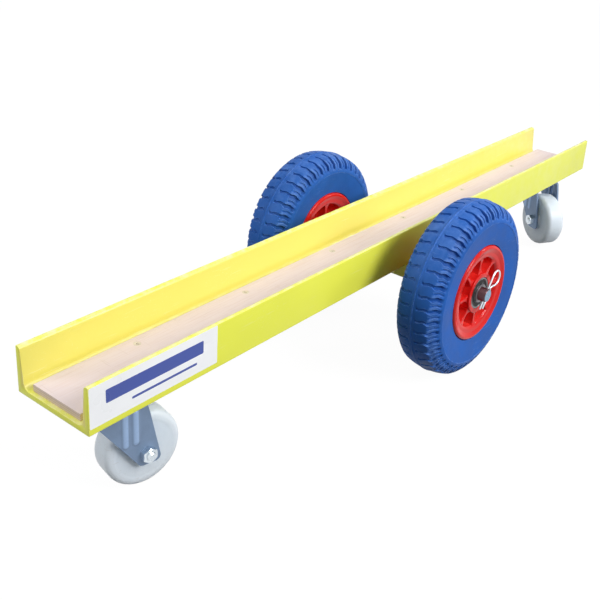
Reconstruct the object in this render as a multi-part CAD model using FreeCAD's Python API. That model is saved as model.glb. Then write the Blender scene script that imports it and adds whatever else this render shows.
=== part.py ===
import FreeCAD, Part

import math
import os

Vector = FreeCAD.Vector

# Slab dolly in millimetres. X runs along the channel, Y across it, and Z up from the floor.
# The origin is on the floor, under the middle of the dolly.

# Gaps shared by several pieces
running_gap = 0.3
bearing_gap = 0.05
drill_overrun = 1.0

# Channel that holds the slab
channel_length = 1200.0
channel_width = 120.0
flange_height = 58.0
web_thickness = 7.0
flange_thickness = 9.0
flange_slope_share = 0.08
root_radius = 9.0
toe_radius = 4.5

# Deck board that lies on the web
board_thickness = 9.0
board_end_recess = 5.0
board_side_gap = 0.4

# Screws that hold the board
screw_columns = 6
screw_end_inset = 137.5
screw_edge_inset = 13.84
screw_radius = 2.4
screw_head_radius = 4.8
screw_head_height = 2.6
screw_length = 20.0
screw_tip_length = 4.0
screw_board_gap = 0.2

# Big wheels and their axle
tyre_diameter = 260.0
tyre_width = 70.0
wheel_track = 278.0
axle_diameter = 20.0
axle_chamfer = 1.2
housing_wall = 3.8
housing_corner = 2.5
housing_bore_corner = 1.0
housing_gap = 0.2
weld_leg = 5.0

# Tyre section
mould_line_width = 2.4
mould_line_height = 0.8
tread_width = 48.0
tread_drop = 4.5
shoulder_step = 0.8
shoulder_step_radius = 105.0
bead_gap = 1.0
bead_rise = 1.4

# Moulded rim
rim_width = 67.2
rim_diameter = 142.0
rim_seat_radius = 58.0
rim_barrel_thickness = 5.0
rim_lip_thickness = 4.0
rim_lip_round = 1.9
rim_cone_width = 8.0
rim_cone_drop = 2.6
rim_web_thickness = 5.0
rim_draft = 1.0
rim_seat_round = 2.0
rib_count = 8
rib_thickness = 4.0
rib_recess = 3.0
rib_flare = 4.0
rib_flare_run = 6.5
rib_flare_round = 8.0
hub_wall = 6.5
hub_proud = 0.5

# Ball bearings in the hub
bearing_diameter = 47.0
bearing_width = 14.0
bearing_outer_ring = 3.0
bearing_inner_ring = 4.0
bearing_seal_recess = 0.8
bearing_shoulder = 2.5
bearing_inset = 2.1

# Washers on the axle
inner_washer_diameter = 32.0
outer_washer_diameter = 27.0
washer_thickness = 2.0
washer_gap = 0.1

# Hairpin clips through the axle ends
clip_wire_diameter = 3.0
clip_hole_gap = 0.15
clip_washer_gap = 5.7
clip_end_inset = 4.0
clip_angle = 56.0
clip_tail = 22.0
clip_neck = 29.5
clip_eye_radius = 11.0
clip_eye_turn = 240.0
clip_bend_radius = 3.0
clip_arch_end = 135.0
clip_flare_turn = 45.0
clip_flare_tail = 9.0

# Swivel casters
caster_end_inset = 70.0
caster_trail = 37.0
caster_lift = 8.0
caster_wheel_diameter = 96.0
caster_wheel_width = 34.0
near_caster_angle = 12.0
far_caster_angle = 121.0

# Caster plate and ball race
plate_length = 105.0
plate_width = 85.0
plate_thickness = 4.0
plate_corner = 8.0
plate_hole_length = 80.0
plate_hole_width = 60.0
race_diameter = 54.0
race_height = 10.0
race_round = 3.0

# Plate bolts and nuts
plate_bolt_radius = 4.0
plate_bolt_gap = 0.3
plate_bolt_head_radius = 8.0
plate_bolt_head_height = 4.4
plate_bolt_proud = 1.5
plate_nut_flats = 13.0
plate_nut_height = 6.5

# Kingpin
kingpin_radius = 6.0
kingpin_rivet_radius = 9.0
kingpin_head_radius = 11.0
kingpin_head_height = 4.5
kingpin_head_round = 2.0

# Pressed fork
fork_steel = 3.5
fork_crown_steel = 4.0
fork_inner_width = 42.0
fork_bend_radius = 6.0
fork_inner_bend_radius = 2.5
fork_front = 28.0
fork_front_drop = 12.0
fork_back = 36.0
fork_shoulder_drop = 20.0
fork_shoulder_back = 41.0
fork_foot_front = 9.0
fork_foot_back = 13.5
fork_foot_drop = 15.5
fork_heel_rise = 5.0
fork_heel_back = 17.5
fork_corner = 3.0
fork_foot_round = 6.0
fork_edge_round = 16.0
bead_radius = 9.5
bead_height = 2.0
bead_middle = 16.0
bead_spacing = 13.0
bead_top_drop = 14.0
bead_foot_rise = 20.5

# Caster wheel, its sleeve and its bolt
caster_hub_length = 40.0
caster_hub_radius = 14.0
caster_edge_round = 7.0
caster_dish_inner = 18.0
caster_dish_outer = 35.5
caster_dish_rim = 38.5
caster_dish_depth = 1.6
sleeve_radius = 7.5
sleeve_wall = 2.3
wheel_bolt_radius = 5.0
wheel_bolt_gap = 0.1
wheel_bolt_flats = 17.0
wheel_bolt_head_height = 6.4
wheel_nut_height = 8.0
wheel_bolt_proud = 3.0
hex_chamfer_share = 0.6

# Places worked out from the sizes
channel_half = channel_width / 2
root_inner = channel_half - flange_thickness - flange_slope_share * (flange_height / 2 - web_thickness)
toe_inner = channel_half - flange_thickness + flange_slope_share * flange_height / 2
board_half = root_inner - root_radius - board_side_gap
screw_row_offset = board_half - screw_edge_inset
screw_spacing = (channel_length - 2 * screw_end_inset) / (screw_columns - 1)
caster_offset = channel_length / 2 - caster_end_inset
axle_height = tyre_diameter / 2
axle_radius = axle_diameter / 2
wheel_plane = wheel_track / 2
housing_side = axle_diameter + 2 * (housing_gap + housing_wall)
underside = axle_height + housing_side / 2
web_top = underside + web_thickness
board_top = web_top + board_thickness
hub_half = rim_width / 2 - bearing_inset
housing_half = wheel_plane - hub_half - running_gap - washer_thickness
outer_washer_start = wheel_plane + hub_half + running_gap
clip_start = outer_washer_start + washer_thickness + clip_washer_gap
axle_length = 2 * (clip_start + clip_wire_diameter / 2 + clip_end_inset)
caster_axle_height = caster_lift + caster_wheel_diameter / 2
caster_axle_drop = underside - caster_axle_height
crown_drop = plate_thickness + race_height + running_gap
crown_floor = crown_drop + fork_crown_steel

x_axis = Vector(1, 0, 0)
y_axis = Vector(0, 1, 0)
z_axis = Vector(0, 0, 1)
origin = Vector(0, 0, 0)
full_turn = 360.0


def rounded_wire(corners):
    """Closed flat wire through (point, radius) corners, with a tangent arc at each rounded one."""
    count = len(corners)
    stretches = []
    for index, (corner, radius) in enumerate(corners):
        back = corners[index - 1][0] - corner
        ahead = corners[(index + 1) % count][0] - corner
        back.normalize()
        ahead.normalize()
        half = back.getAngle(ahead) / 2
        middle = back + ahead
        if radius == 0:
            stretches.append((corner, None, corner))
            continue
        middle.normalize()
        reach = radius / math.tan(half)
        top = corner + middle * (radius / math.sin(half) - radius)
        stretches.append((corner + back * reach, top, corner + ahead * reach))
    edges = []
    for index, (start, top, end) in enumerate(stretches):
        if top is not None:
            edges.append(Part.Arc(start, top, end).toShape())
        edges.append(Part.makeLine(end, stretches[(index + 1) % count][0]))
    return Part.Wire(edges)


def turned(corners):
    """Solid of revolution about Y from (radius, along, corner radius) corners."""
    wire = rounded_wire([(Vector(radius, along, 0), corner) for radius, along, corner in corners])
    return Part.Face(wire).revolve(origin, y_axis, full_turn)


def rod(radius, start, end):
    """Cylinder from one point to another."""
    run = end - start
    return Part.makeCylinder(radius, run.Length, start, run)


def cone(start_radius, end_radius, start, end):
    """Cone frustum from one point to another."""
    run = end - start
    return Part.makeCone(start_radius, end_radius, run.Length, start, run)


def hexagon(flats, height, start, direction):
    """Hexagonal prism standing on start, with its far corners chamfered."""
    half = flats / 2
    corner = half / math.cos(math.radians(full_turn / 12))
    points = []
    for index in range(7):
        angle = math.radians(index * full_turn / 6)
        points.append(Vector(corner * math.cos(angle), 0, corner * math.sin(angle)))
    prism = Part.Face(Part.makePolygon(points)).extrude(y_axis * height)
    wide = 2 * corner - half
    low = height - (wide - half) * hex_chamfer_share
    solid = prism.common(turned([(0, 0, 0), (wide, 0, 0), (wide, low, 0), (half, height, 0), (0, height, 0)]))
    solid.Placement = FreeCAD.Placement(start, FreeCAD.Rotation(y_axis, direction))
    return solid


def mirrored(shape):
    """Copy of a shape on the other side of the wheel's or the dolly's middle plane."""
    return shape.mirror(origin, y_axis)


# Channel, board and screws

def channel_section():
    """Section of the channel, with its underside at zero."""
    corners = [
        (Vector(0, -channel_half, 0), 0),
        (Vector(0, channel_half, 0), 0),
        (Vector(0, channel_half, flange_height), 0),
        (Vector(0, toe_inner, flange_height), toe_radius),
        (Vector(0, root_inner, web_thickness), root_radius),
        (Vector(0, -root_inner, web_thickness), root_radius),
        (Vector(0, -toe_inner, flange_height), toe_radius),
        (Vector(0, -channel_half, flange_height), 0),
    ]
    return Part.Face(rounded_wire(corners))


def screw_places():
    first = -screw_spacing * (screw_columns - 1) / 2
    for row in (-screw_row_offset, screw_row_offset):
        for column in range(screw_columns):
            yield first + column * screw_spacing, row


def plate_bolt_places(middle):
    for along in (-plate_hole_length / 2, plate_hole_length / 2):
        for across in (-plate_hole_width / 2, plate_hole_width / 2):
            yield middle + along, across


def flat_head(head_radius, head_height, radius, top):
    """Countersunk head, or the hole for one, hanging down from top."""
    return cone(head_radius, radius, top, top - z_axis * head_height)


def make_channel():
    channel = channel_section().extrude(x_axis * channel_length)
    channel.translate(Vector(-channel_length / 2, 0, underside))
    holes = []
    for x, y in screw_places():
        holes.append(rod(screw_radius, Vector(x, y, underside - drill_overrun),
                         Vector(x, y, web_top + drill_overrun)))
    for middle in (-caster_offset, caster_offset):
        for x, y in plate_bolt_places(middle):
            holes.append(rod(plate_bolt_radius + plate_bolt_gap, Vector(x, y, underside - drill_overrun),
                             Vector(x, y, web_top)))
            holes.append(flat_head(plate_bolt_head_radius, plate_bolt_head_height, plate_bolt_radius,
                                   Vector(x, y, web_top)))
    return channel.cut(holes)


def make_deck_board():
    length = channel_length - board_end_recess
    start = Vector(board_end_recess - channel_length / 2, -board_half, web_top)
    board = Part.makeBox(length, 2 * board_half, board_thickness, start)
    holes = []
    for x, y in screw_places():
        holes.append(rod(screw_radius + screw_board_gap, Vector(x, y, web_top - drill_overrun),
                         Vector(x, y, board_top)))
        holes.append(flat_head(screw_head_radius, screw_head_height, screw_radius, Vector(x, y, board_top)))
    return board.cut(holes)


def make_screw(x, y):
    top = Vector(x, y, board_top)
    shank_end = top - z_axis * (screw_length - screw_tip_length)
    head = flat_head(screw_head_radius, screw_head_height, screw_radius, top)
    shank = rod(screw_radius, top - z_axis * screw_head_height, shank_end)
    tip = cone(screw_radius, 0, shank_end, shank_end - z_axis * screw_tip_length)
    return head.fuse([shank, tip]).removeSplitter()


# Axle, housing, washers and clips

def square_bar(side, corner, half_length):
    """Square bar along the axle's line, with rounded corners."""
    half = side / 2
    corners = [(Vector(x * half, -half_length, axle_height + z * half), corner)
               for x, z in ((-1, -1), (1, -1), (1, 1), (-1, 1))]
    return Part.Face(rounded_wire(corners)).extrude(y_axis * (2 * half_length))


def make_housing():
    tube = square_bar(housing_side, housing_corner, housing_half)
    bore = housing_side - 2 * housing_wall
    tube = tube.cut(square_bar(bore, housing_bore_corner, housing_half + drill_overrun))
    welds = []
    for sign in (-1, 1):
        foot = Vector(sign * housing_side / 2, -channel_half, underside)
        root = foot - x_axis * (sign * housing_corner)
        outline = Part.makePolygon([root, foot - z_axis * weld_leg, foot + x_axis * (sign * weld_leg), root])
        welds.append(Part.Face(outline).extrude(y_axis * channel_width))
    return tube.fuse(welds).removeSplitter()


def clip_place(side):
    """Where a clip crosses the axle, and the frame that its flat shape lies in."""
    middle = Vector(0, side * (axle_length / 2 - clip_end_inset), axle_height)
    angle = math.radians(clip_angle)
    along = Vector(math.cos(angle), 0, math.sin(angle))
    across = Vector(math.sin(angle), 0, -math.cos(angle))
    return middle, along, across


def make_axle():
    half = axle_length / 2
    axle = rod(axle_radius, Vector(0, -half, axle_height), Vector(0, half, axle_height))
    ends = [edge for edge in axle.Edges if isinstance(edge.Curve, Part.Circle)]
    axle = axle.makeChamfer(axle_chamfer, ends)
    holes = []
    for side in (-1, 1):
        middle, along, _ = clip_place(side)
        reach = along * (axle_radius + drill_overrun)
        holes.append(rod(clip_wire_diameter / 2 + clip_hole_gap, middle - reach, middle + reach))
    return axle.cut(holes)


def bent_wire(start, heading, moves):
    """Flat path from start in (along, across), made of runs (length,) and turns (radius, degrees left)."""
    edges = []
    place = Vector(start[0], start[1], 0)
    for move in moves:
        ahead = Vector(math.cos(heading), math.sin(heading), 0)
        left = Vector(-math.sin(heading), math.cos(heading), 0)
        if len(move) == 1:
            end = place + ahead * move[0]
            edges.append(Part.makeLine(place, end))
            place = end
            continue
        radius, degrees = move
        turn = math.radians(abs(degrees))
        side = left if degrees > 0 else left * -1
        centre = place + side * radius
        points = []
        for part in (turn / 2, turn):
            points.append(centre - side * (radius * math.cos(part)) + ahead * (radius * math.sin(part)))
        edges.append(Part.Arc(place, points[0], points[1]).toShape())
        place = points[1]
        heading = heading + math.radians(degrees)
    return Part.Wire(edges)


def make_clip(side):
    wire_radius = clip_wire_diameter / 2
    arch_radius = axle_radius + wire_radius + running_gap
    turn = math.radians(clip_eye_turn)
    back = Vector(math.cos(turn), math.sin(turn), 0)
    aside = Vector(math.sin(turn), -math.cos(turn), 0)

    # The bend behind the eye comes to lie against the arch over the axle
    bend_middle = Vector(clip_neck, clip_eye_radius, 0) + aside * (clip_eye_radius + clip_bend_radius)
    reach = bend_middle.dot(back)
    run = -reach - math.sqrt(reach ** 2 - bend_middle.Length ** 2 + (arch_radius + clip_bend_radius) ** 2)
    bend_middle = bend_middle + back * run
    arch_start = math.degrees(math.atan2(bend_middle.y, bend_middle.x))
    path = bent_wire((-clip_tail, 0), 0, [
        (clip_tail + clip_neck,),
        (clip_eye_radius, clip_eye_turn),
        (run,),
        (clip_bend_radius, arch_start + full_turn / 4 - clip_eye_turn),
        (arch_radius, clip_arch_end - arch_start),
        (clip_bend_radius, -clip_flare_turn),
        (clip_flare_tail,),
    ])
    profile = Part.Wire(Part.Circle(Vector(-clip_tail, 0, 0), x_axis, wire_radius).toShape())
    clip = path.makePipeShell([profile], True, False)
    middle, along, across = clip_place(side)
    turn = FreeCAD.Rotation(along, across, along.cross(across), "XYZ")
    clip.Placement = FreeCAD.Placement(middle, turn)
    return clip


def make_washer(diameter, start, side):
    begin = Vector(0, side * start, axle_height)
    end = begin + y_axis * (side * washer_thickness)
    return rod(diameter / 2, begin, end).cut(rod(axle_radius + washer_gap, begin, end))


# Big wheels, made about Y at the origin

def bow(flat, fall):
    """Rise of the middle of an arc over its chord, where the arc starts along flat and falls away from it."""
    radius = (flat ** 2 + fall ** 2) / (2 * fall)
    return radius - math.sqrt(radius ** 2 - (flat ** 2 + fall ** 2) / 4)


def make_tyre():
    radius = tyre_diameter / 2
    half = tyre_width / 2
    line_half = mould_line_width / 2
    tread_half = tread_width / 2
    tread_floor = radius - mould_line_height
    tread_edge = radius - tread_drop
    step_side = half - shoulder_step
    bead_side = rim_width / 2 - rim_lip_thickness
    bead_outside = rim_diameter / 2 + bead_gap
    bead_top = bead_side + bead_rise
    points = [
        Vector(radius, 0, 0),
        Vector(radius, line_half, 0),
        Vector(tread_floor, line_half, 0),
        Vector(tread_edge, tread_half, 0),
        Vector(shoulder_step_radius, half, 0),
        Vector(shoulder_step_radius, step_side, 0),
        Vector(bead_outside, bead_top, 0),
        Vector(bead_outside, bead_side, 0),
        Vector(rim_seat_radius + rim_seat_round, bead_side, 0),
        Vector(rim_seat_radius, bead_side - rim_seat_round, 0),
        Vector(rim_seat_radius, 0, 0),
    ]
    bows = {
        2: bow(tread_half - line_half, tread_floor - tread_edge),
        3: bow(tread_edge - shoulder_step_radius, half - tread_half),
        5: bow(shoulder_step_radius - bead_outside, step_side - bead_top),
    }
    edges = []
    for index, start in enumerate(points):
        end = points[(index + 1) % len(points)]
        if index not in bows:
            edges.append(Part.makeLine(start, end))
            continue
        run = end - start
        outward = Vector(run.y, -run.x, 0)
        outward.normalize()
        edges.append(Part.Arc(start, start + run / 2 + outward * bows[index], end).toShape())
    half_tyre = Part.Face(Part.Wire(edges)).revolve(origin, y_axis, full_turn)
    return half_tyre.fuse(mirrored(half_tyre)).removeSplitter()


def make_rib(inner, outer, half_height):
    """Rib along X through both sides of the rim, flared where it meets hub and barrel."""
    half = rib_thickness / 2
    side = [
        (inner, half + rib_flare, 0),
        (inner + rib_flare_run, half, rib_flare_round),
        (outer - rib_flare_run, half, rib_flare_round),
        (outer, half + rib_flare, 0),
    ]
    other = [(out, -across, corner) for out, across, corner in reversed(side)]
    corners = [(Vector(out, -half_height, across), corner) for out, across, corner in side + other]
    return Part.Face(rounded_wire(corners)).extrude(y_axis * (2 * half_height))


def make_rim():
    face = rim_width / 2
    lip_back = face - rim_lip_thickness
    radius = rim_diameter / 2
    web_half = rim_web_thickness / 2
    barrel_radius = rim_seat_radius - rim_barrel_thickness
    seat = bearing_diameter / 2
    shoulder = hub_half - bearing_width
    hub_radius = seat + hub_wall
    hub_end = hub_half + hub_proud
    half_rim = turned([
        (seat - bearing_shoulder, 0, 0),
        (seat - bearing_shoulder, shoulder, 0),
        (seat, shoulder, 0),
        (seat, hub_end, 0),
        (hub_radius, hub_end, rim_draft),
        (hub_radius + rim_draft, web_half, 0),
        (barrel_radius - rim_draft, web_half, 0),
        (barrel_radius, face - rim_cone_drop, rim_draft),
        (barrel_radius + rim_cone_width, face, rim_draft),
        (radius, face, rim_lip_round),
        (radius, lip_back, rim_lip_round),
        (rim_seat_radius + rim_seat_round, lip_back, 0),
        (rim_seat_radius, lip_back - rim_seat_round, 0),
        (rim_seat_radius, 0, 0),
    ])
    rim = half_rim.fuse(mirrored(half_rim))
    rib_inner = seat + hub_wall / 2
    rib_outer = barrel_radius + rim_barrel_thickness / 2
    rib = make_rib(rib_inner, rib_outer, face - rim_cone_drop - rib_recess)
    ribs = []
    for index in range(rib_count):
        ribs.append(rib.rotated(origin, y_axis, index * full_turn / rib_count))
    return rim.fuse(ribs).removeSplitter()


def make_bearing():
    outer = bearing_diameter / 2
    inner = axle_radius + bearing_gap
    outer_land = outer - bearing_outer_ring
    inner_land = inner + bearing_inner_ring
    seal = bearing_width - bearing_seal_recess
    return turned([
        (inner, 0, bearing_seal_recess),
        (inner, bearing_width, bearing_seal_recess),
        (inner_land, bearing_width, 0),
        (inner_land, seal, 0),
        (outer_land, seal, 0),
        (outer_land, bearing_width, 0),
        (outer, bearing_width, bearing_seal_recess),
        (outer, 0, bearing_seal_recess),
        (outer_land, 0, 0),
        (outer_land, bearing_seal_recess, 0),
        (inner_land, bearing_seal_recess, 0),
        (inner_land, 0, 0),
    ])


# Casters, made about the swivel axis with the channel's underside at zero and the wheel behind along X

def make_plate():
    half_length = plate_length / 2
    half_width = plate_width / 2
    outline = [(Vector(x * half_length, y * half_width, -plate_thickness), plate_corner)
               for x, y in ((-1, -1), (1, -1), (1, 1), (-1, 1))]
    plate = Part.Face(rounded_wire(outline)).extrude(z_axis * plate_thickness)
    race = Part.makeCylinder(race_diameter / 2, race_height, z_axis * -(plate_thickness + race_height))
    low = [edge for edge in race.Edges
           if isinstance(edge.Curve, Part.Circle) and edge.BoundBox.ZMax < -(race_height / 2 + plate_thickness)]
    race = race.makeFillet(race_round, low)
    holes = [
        rod(kingpin_radius, z_axis * -(plate_thickness + race_height + drill_overrun), origin),
        cone(kingpin_rivet_radius, kingpin_radius, origin, z_axis * -plate_thickness),
    ]
    for x, y in plate_bolt_places(0):
        holes.append(rod(plate_bolt_radius + plate_bolt_gap, Vector(x, y, -plate_thickness - drill_overrun),
                         Vector(x, y, drill_overrun)))
    return plate.fuse(race).cut(holes).removeSplitter()


def make_kingpin():
    head_top = z_axis * -(crown_floor + running_gap)
    rivet = cone(kingpin_rivet_radius, kingpin_radius, origin, z_axis * -plate_thickness)
    shank = rod(kingpin_radius, z_axis * -plate_thickness, head_top)
    head = rod(kingpin_head_radius, head_top, head_top - z_axis * kingpin_head_height)
    low = [edge for edge in head.Edges
           if isinstance(edge.Curve, Part.Circle) and edge.BoundBox.ZMax < head_top.z - kingpin_head_height / 2]
    head = head.makeFillet(kingpin_head_round, low)
    return rivet.fuse([shank, head]).removeSplitter()


def fork_side():
    """Outline of the fork seen from the side."""
    shoulder = -(crown_drop + fork_shoulder_drop)
    front_shoulder = -(crown_drop + fork_front_drop)
    foot = -(caster_axle_drop + fork_foot_drop)
    corners = [
        (-fork_front, -crown_drop, fork_corner),
        (fork_back, -crown_drop, fork_corner),
        (fork_shoulder_back, shoulder, fork_edge_round),
        (caster_trail + fork_heel_back, foot + fork_heel_rise, fork_foot_round),
        (caster_trail + fork_foot_back, foot, fork_foot_round),
        (caster_trail - fork_foot_front, foot, fork_foot_round),
        (-fork_front, front_shoulder, fork_edge_round),
    ]
    return Part.Face(rounded_wire([(Vector(x, 0, z), radius) for x, z, radius in corners]))


def fork_section(inner, outer, foot):
    """Bent strip of steel seen from the front: the crown and the two legs."""
    corners = [
        (-outer, foot, 0),
        (-outer, -crown_drop, fork_bend_radius),
        (outer, -crown_drop, fork_bend_radius),
        (outer, foot, 0),
        (inner, foot, 0),
        (inner, -crown_floor, fork_inner_bend_radius),
        (-inner, -crown_floor, fork_inner_bend_radius),
        (-inner, foot, 0),
    ]
    return Part.Face(rounded_wire([(Vector(0, y, z), radius) for y, z, radius in corners]))


def make_fork():
    inner = fork_inner_width / 2
    outer = inner + fork_steel
    side = fork_side()
    box = side.BoundBox
    strip = fork_section(inner, outer, box.ZMin - drill_overrun).extrude(x_axis * box.XLength)
    strip.translate(x_axis * box.XMin)
    fork = strip.common(side.extrude(y_axis * (2 * outer)).translated(y_axis * -outer))

    # Pressed stiffening beads on both legs
    ridges = []
    sunk = outer + bead_height - bead_radius
    top = -(crown_drop + bead_top_drop)
    foot = -(caster_axle_drop - bead_foot_rise)
    for leg in (-1, 1):
        for shift in (-1, 1):
            start = Vector(bead_middle + shift * bead_spacing / 2, leg * sunk, top)
            end = Vector(start.x, start.y, foot)
            ridges.extend([rod(bead_radius, start, end), Part.makeSphere(bead_radius, start),
                           Part.makeSphere(bead_radius, end)])
    between_legs = Part.makeBox(box.XLength, 2 * inner, box.ZLength, Vector(box.XMin, -inner, box.ZMin))
    fork = fork.fuse(ridges[0].fuse(ridges[1:]).cut(between_legs))

    axle_place = Vector(caster_trail, 0, -caster_axle_drop)
    reach = y_axis * (outer + drill_overrun)
    holes = [
        rod(wheel_bolt_radius + wheel_bolt_gap, axle_place - reach, axle_place + reach),
        rod(kingpin_radius + bearing_gap, z_axis * -(crown_floor + drill_overrun),
            z_axis * (drill_overrun - crown_drop)),
    ]
    return fork.cut(holes).removeSplitter()


def at_wheel(shape):
    """Shape made about Y at the origin, moved to the caster wheel's place behind the swivel axis."""
    shape.translate(Vector(caster_trail, 0, -caster_axle_drop))
    return shape


def make_caster_wheel():
    radius = caster_wheel_diameter / 2
    half = caster_wheel_width / 2
    hub = caster_hub_length / 2
    dish = half - caster_dish_depth
    bore = sleeve_radius + bearing_gap
    side = [
        (bore, hub, 0),
        (caster_hub_radius, hub, caster_dish_depth),
        (caster_dish_inner, dish, caster_dish_depth),
        (caster_dish_outer, dish, caster_dish_depth),
        (caster_dish_rim, half, caster_dish_depth),
        (radius, half, caster_edge_round),
    ]
    other = [(r, -along, corner) for r, along, corner in reversed(side)]
    return at_wheel(turned(side + other))


def make_sleeve():
    half = y_axis * (fork_inner_width / 2)
    return at_wheel(rod(sleeve_radius, half * -1, half).cut(rod(sleeve_radius - sleeve_wall, half * -1, half)))


def make_wheel_bolt():
    seat = y_axis * (fork_inner_width / 2 + fork_steel)
    tip = seat + y_axis * (wheel_nut_height + wheel_bolt_proud)
    head = hexagon(wheel_bolt_flats, wheel_bolt_head_height, seat, y_axis)
    return at_wheel(rod(wheel_bolt_radius, tip * -1, seat).fuse(head).removeSplitter())


def make_wheel_nut():
    seat = y_axis * -(fork_inner_width / 2 + fork_steel)
    nut = hexagon(wheel_bolt_flats, wheel_nut_height, seat, y_axis * -1)
    return at_wheel(nut.cut(rod(wheel_bolt_radius, seat, seat - y_axis * wheel_nut_height)))


def at_caster(shape, middle, angle):
    """Shape made about the swivel axis, turned and set under the channel."""
    placed = shape.copy()
    placed.rotate(origin, z_axis, -angle)
    placed.translate(Vector(middle, 0, underside))
    return placed


def make_plate_bolt(x, y):
    top = Vector(x, y, web_top)
    length = web_thickness + plate_thickness + plate_nut_height + plate_bolt_proud
    head = flat_head(plate_bolt_head_radius, plate_bolt_head_height, plate_bolt_radius, top)
    shank = rod(plate_bolt_radius, top - z_axis * plate_bolt_head_height, top - z_axis * length)
    return head.fuse(shank).removeSplitter()


def make_plate_nut(x, y):
    seat = Vector(x, y, underside - plate_thickness)
    nut = hexagon(plate_nut_flats, plate_nut_height, seat, z_axis * -1)
    return nut.cut(rod(plate_bolt_radius, seat, seat - z_axis * plate_nut_height))


def build():
    nodes = {
        "channel": make_channel(),
        "deck_board": make_deck_board(),
        "axle_housing": make_housing(),
        "axle": make_axle(),
    }
    for number, (x, y) in enumerate(screw_places(), 1):
        nodes[f"board_screw_{number:02d}"] = make_screw(x, y)

    tyre = make_tyre()
    rim = make_rim()
    bearing = make_bearing()
    for name, side in (("front", -1), ("rear", 1)):
        place = Vector(0, side * wheel_plane, axle_height)
        nodes[f"{name}_tyre"] = tyre.translated(place)
        nodes[f"{name}_rim"] = rim.translated(place)
        outer_face = y_axis * (hub_half - bearing_width)
        inner_face = y_axis * -hub_half
        nodes[f"{name}_bearing_a"] = bearing.translated(place + outer_face)
        nodes[f"{name}_bearing_b"] = bearing.translated(place + inner_face)
        nodes[f"{name}_inner_washer"] = make_washer(inner_washer_diameter, housing_half, side)
        nodes[f"{name}_outer_washer"] = make_washer(outer_washer_diameter, outer_washer_start, side)
        nodes[f"{name}_clip"] = make_clip(side)

    plate = make_plate()
    moving = {
        "fork": make_fork(),
        "wheel": make_caster_wheel(),
        "sleeve": make_sleeve(),
        "wheel_bolt": make_wheel_bolt(),
        "wheel_nut": make_wheel_nut(),
    }
    kingpin = make_kingpin()
    casters = (("near", -caster_offset, near_caster_angle), ("far", caster_offset, far_caster_angle))
    for name, middle, angle in casters:
        nodes[f"{name}_caster_plate"] = at_caster(plate, middle, 0)
        nodes[f"{name}_kingpin"] = at_caster(kingpin, middle, 0)
        for piece, shape in moving.items():
            nodes[f"{name}_caster_{piece}"] = at_caster(shape, middle, angle)
        for number, (x, y) in enumerate(plate_bolt_places(middle), 1):
            nodes[f"{name}_plate_bolt_{number}"] = make_plate_bolt(x, y)
            nodes[f"{name}_plate_nut_{number}"] = make_plate_nut(x, y)
    return nodes


os.makedirs("parts", exist_ok=True)
for node, shape in build().items():
    if not shape.isValid() or len(shape.Solids) != 1:
        raise ValueError(f"{node} is not one valid solid")
    shape.exportStep(f"parts/{node}.step")
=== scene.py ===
import math
import random

import bmesh
import bpy
from mathutils import Matrix, Vector


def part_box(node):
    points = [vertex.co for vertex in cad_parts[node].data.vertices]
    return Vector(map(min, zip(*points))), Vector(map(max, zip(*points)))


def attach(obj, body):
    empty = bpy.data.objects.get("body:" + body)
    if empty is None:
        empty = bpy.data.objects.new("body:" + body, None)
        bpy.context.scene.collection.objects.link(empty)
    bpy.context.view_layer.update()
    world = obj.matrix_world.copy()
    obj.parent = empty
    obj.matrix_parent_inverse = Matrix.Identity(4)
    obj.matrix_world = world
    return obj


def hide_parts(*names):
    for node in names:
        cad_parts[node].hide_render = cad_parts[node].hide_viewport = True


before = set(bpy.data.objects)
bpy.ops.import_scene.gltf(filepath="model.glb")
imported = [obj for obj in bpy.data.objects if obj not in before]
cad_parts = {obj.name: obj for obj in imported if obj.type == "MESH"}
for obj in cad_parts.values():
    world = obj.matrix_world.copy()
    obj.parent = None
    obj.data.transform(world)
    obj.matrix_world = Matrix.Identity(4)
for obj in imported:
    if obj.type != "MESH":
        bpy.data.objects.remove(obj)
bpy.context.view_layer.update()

bl_info = {
    "name": "Slab dolly",
    "version": (1, 0, 0),
    "blender": (4, 5, 0),
    "location": "View3D > Sidebar > Slab dolly",
    "description": "Builds the finished pieces of a slab dolly on its packed frame, and the stage round it",
    "category": "Object",
}

mm = 0.001
WHEELS = (("front", -1), ("rear", 1))
CASTERS = ("near", "far")


# Properties

def length(name, description, millimetres):
    """Size that is given in millimetres and kept in metres."""
    return bpy.props.FloatProperty(name=name, description=description, default=millimetres * mm,
                                   precision=5, unit="LENGTH")


def share(name, description, default):
    return bpy.props.FloatProperty(name=name, description=description, default=default, min=0,
                                   soft_max=1, subtype="FACTOR")


def turn(name, description, degrees):
    return bpy.props.FloatProperty(name=name, description=description, default=math.radians(degrees),
                                   subtype="ANGLE", unit="ROTATION")


def count(name, description, default):
    return bpy.props.IntProperty(name=name, description=description, default=default, min=1)


def power(name, description, watts):
    return bpy.props.FloatProperty(name=name, description=description, default=watts, min=0, unit="POWER")


def linear(screen):
    """Linear colour for one that is given as it shows on a screen, from 0 to 255."""
    return [value / 255 / 12.92 if value < 11 else ((value / 255 + 0.055) / 1.055) ** 2.4 for value in screen]


def colour(name, description, screen):
    return bpy.props.FloatVectorProperty(name=name, description=description, default=linear(screen),
                                         size=3, min=0, max=1, subtype="COLOR")


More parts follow.
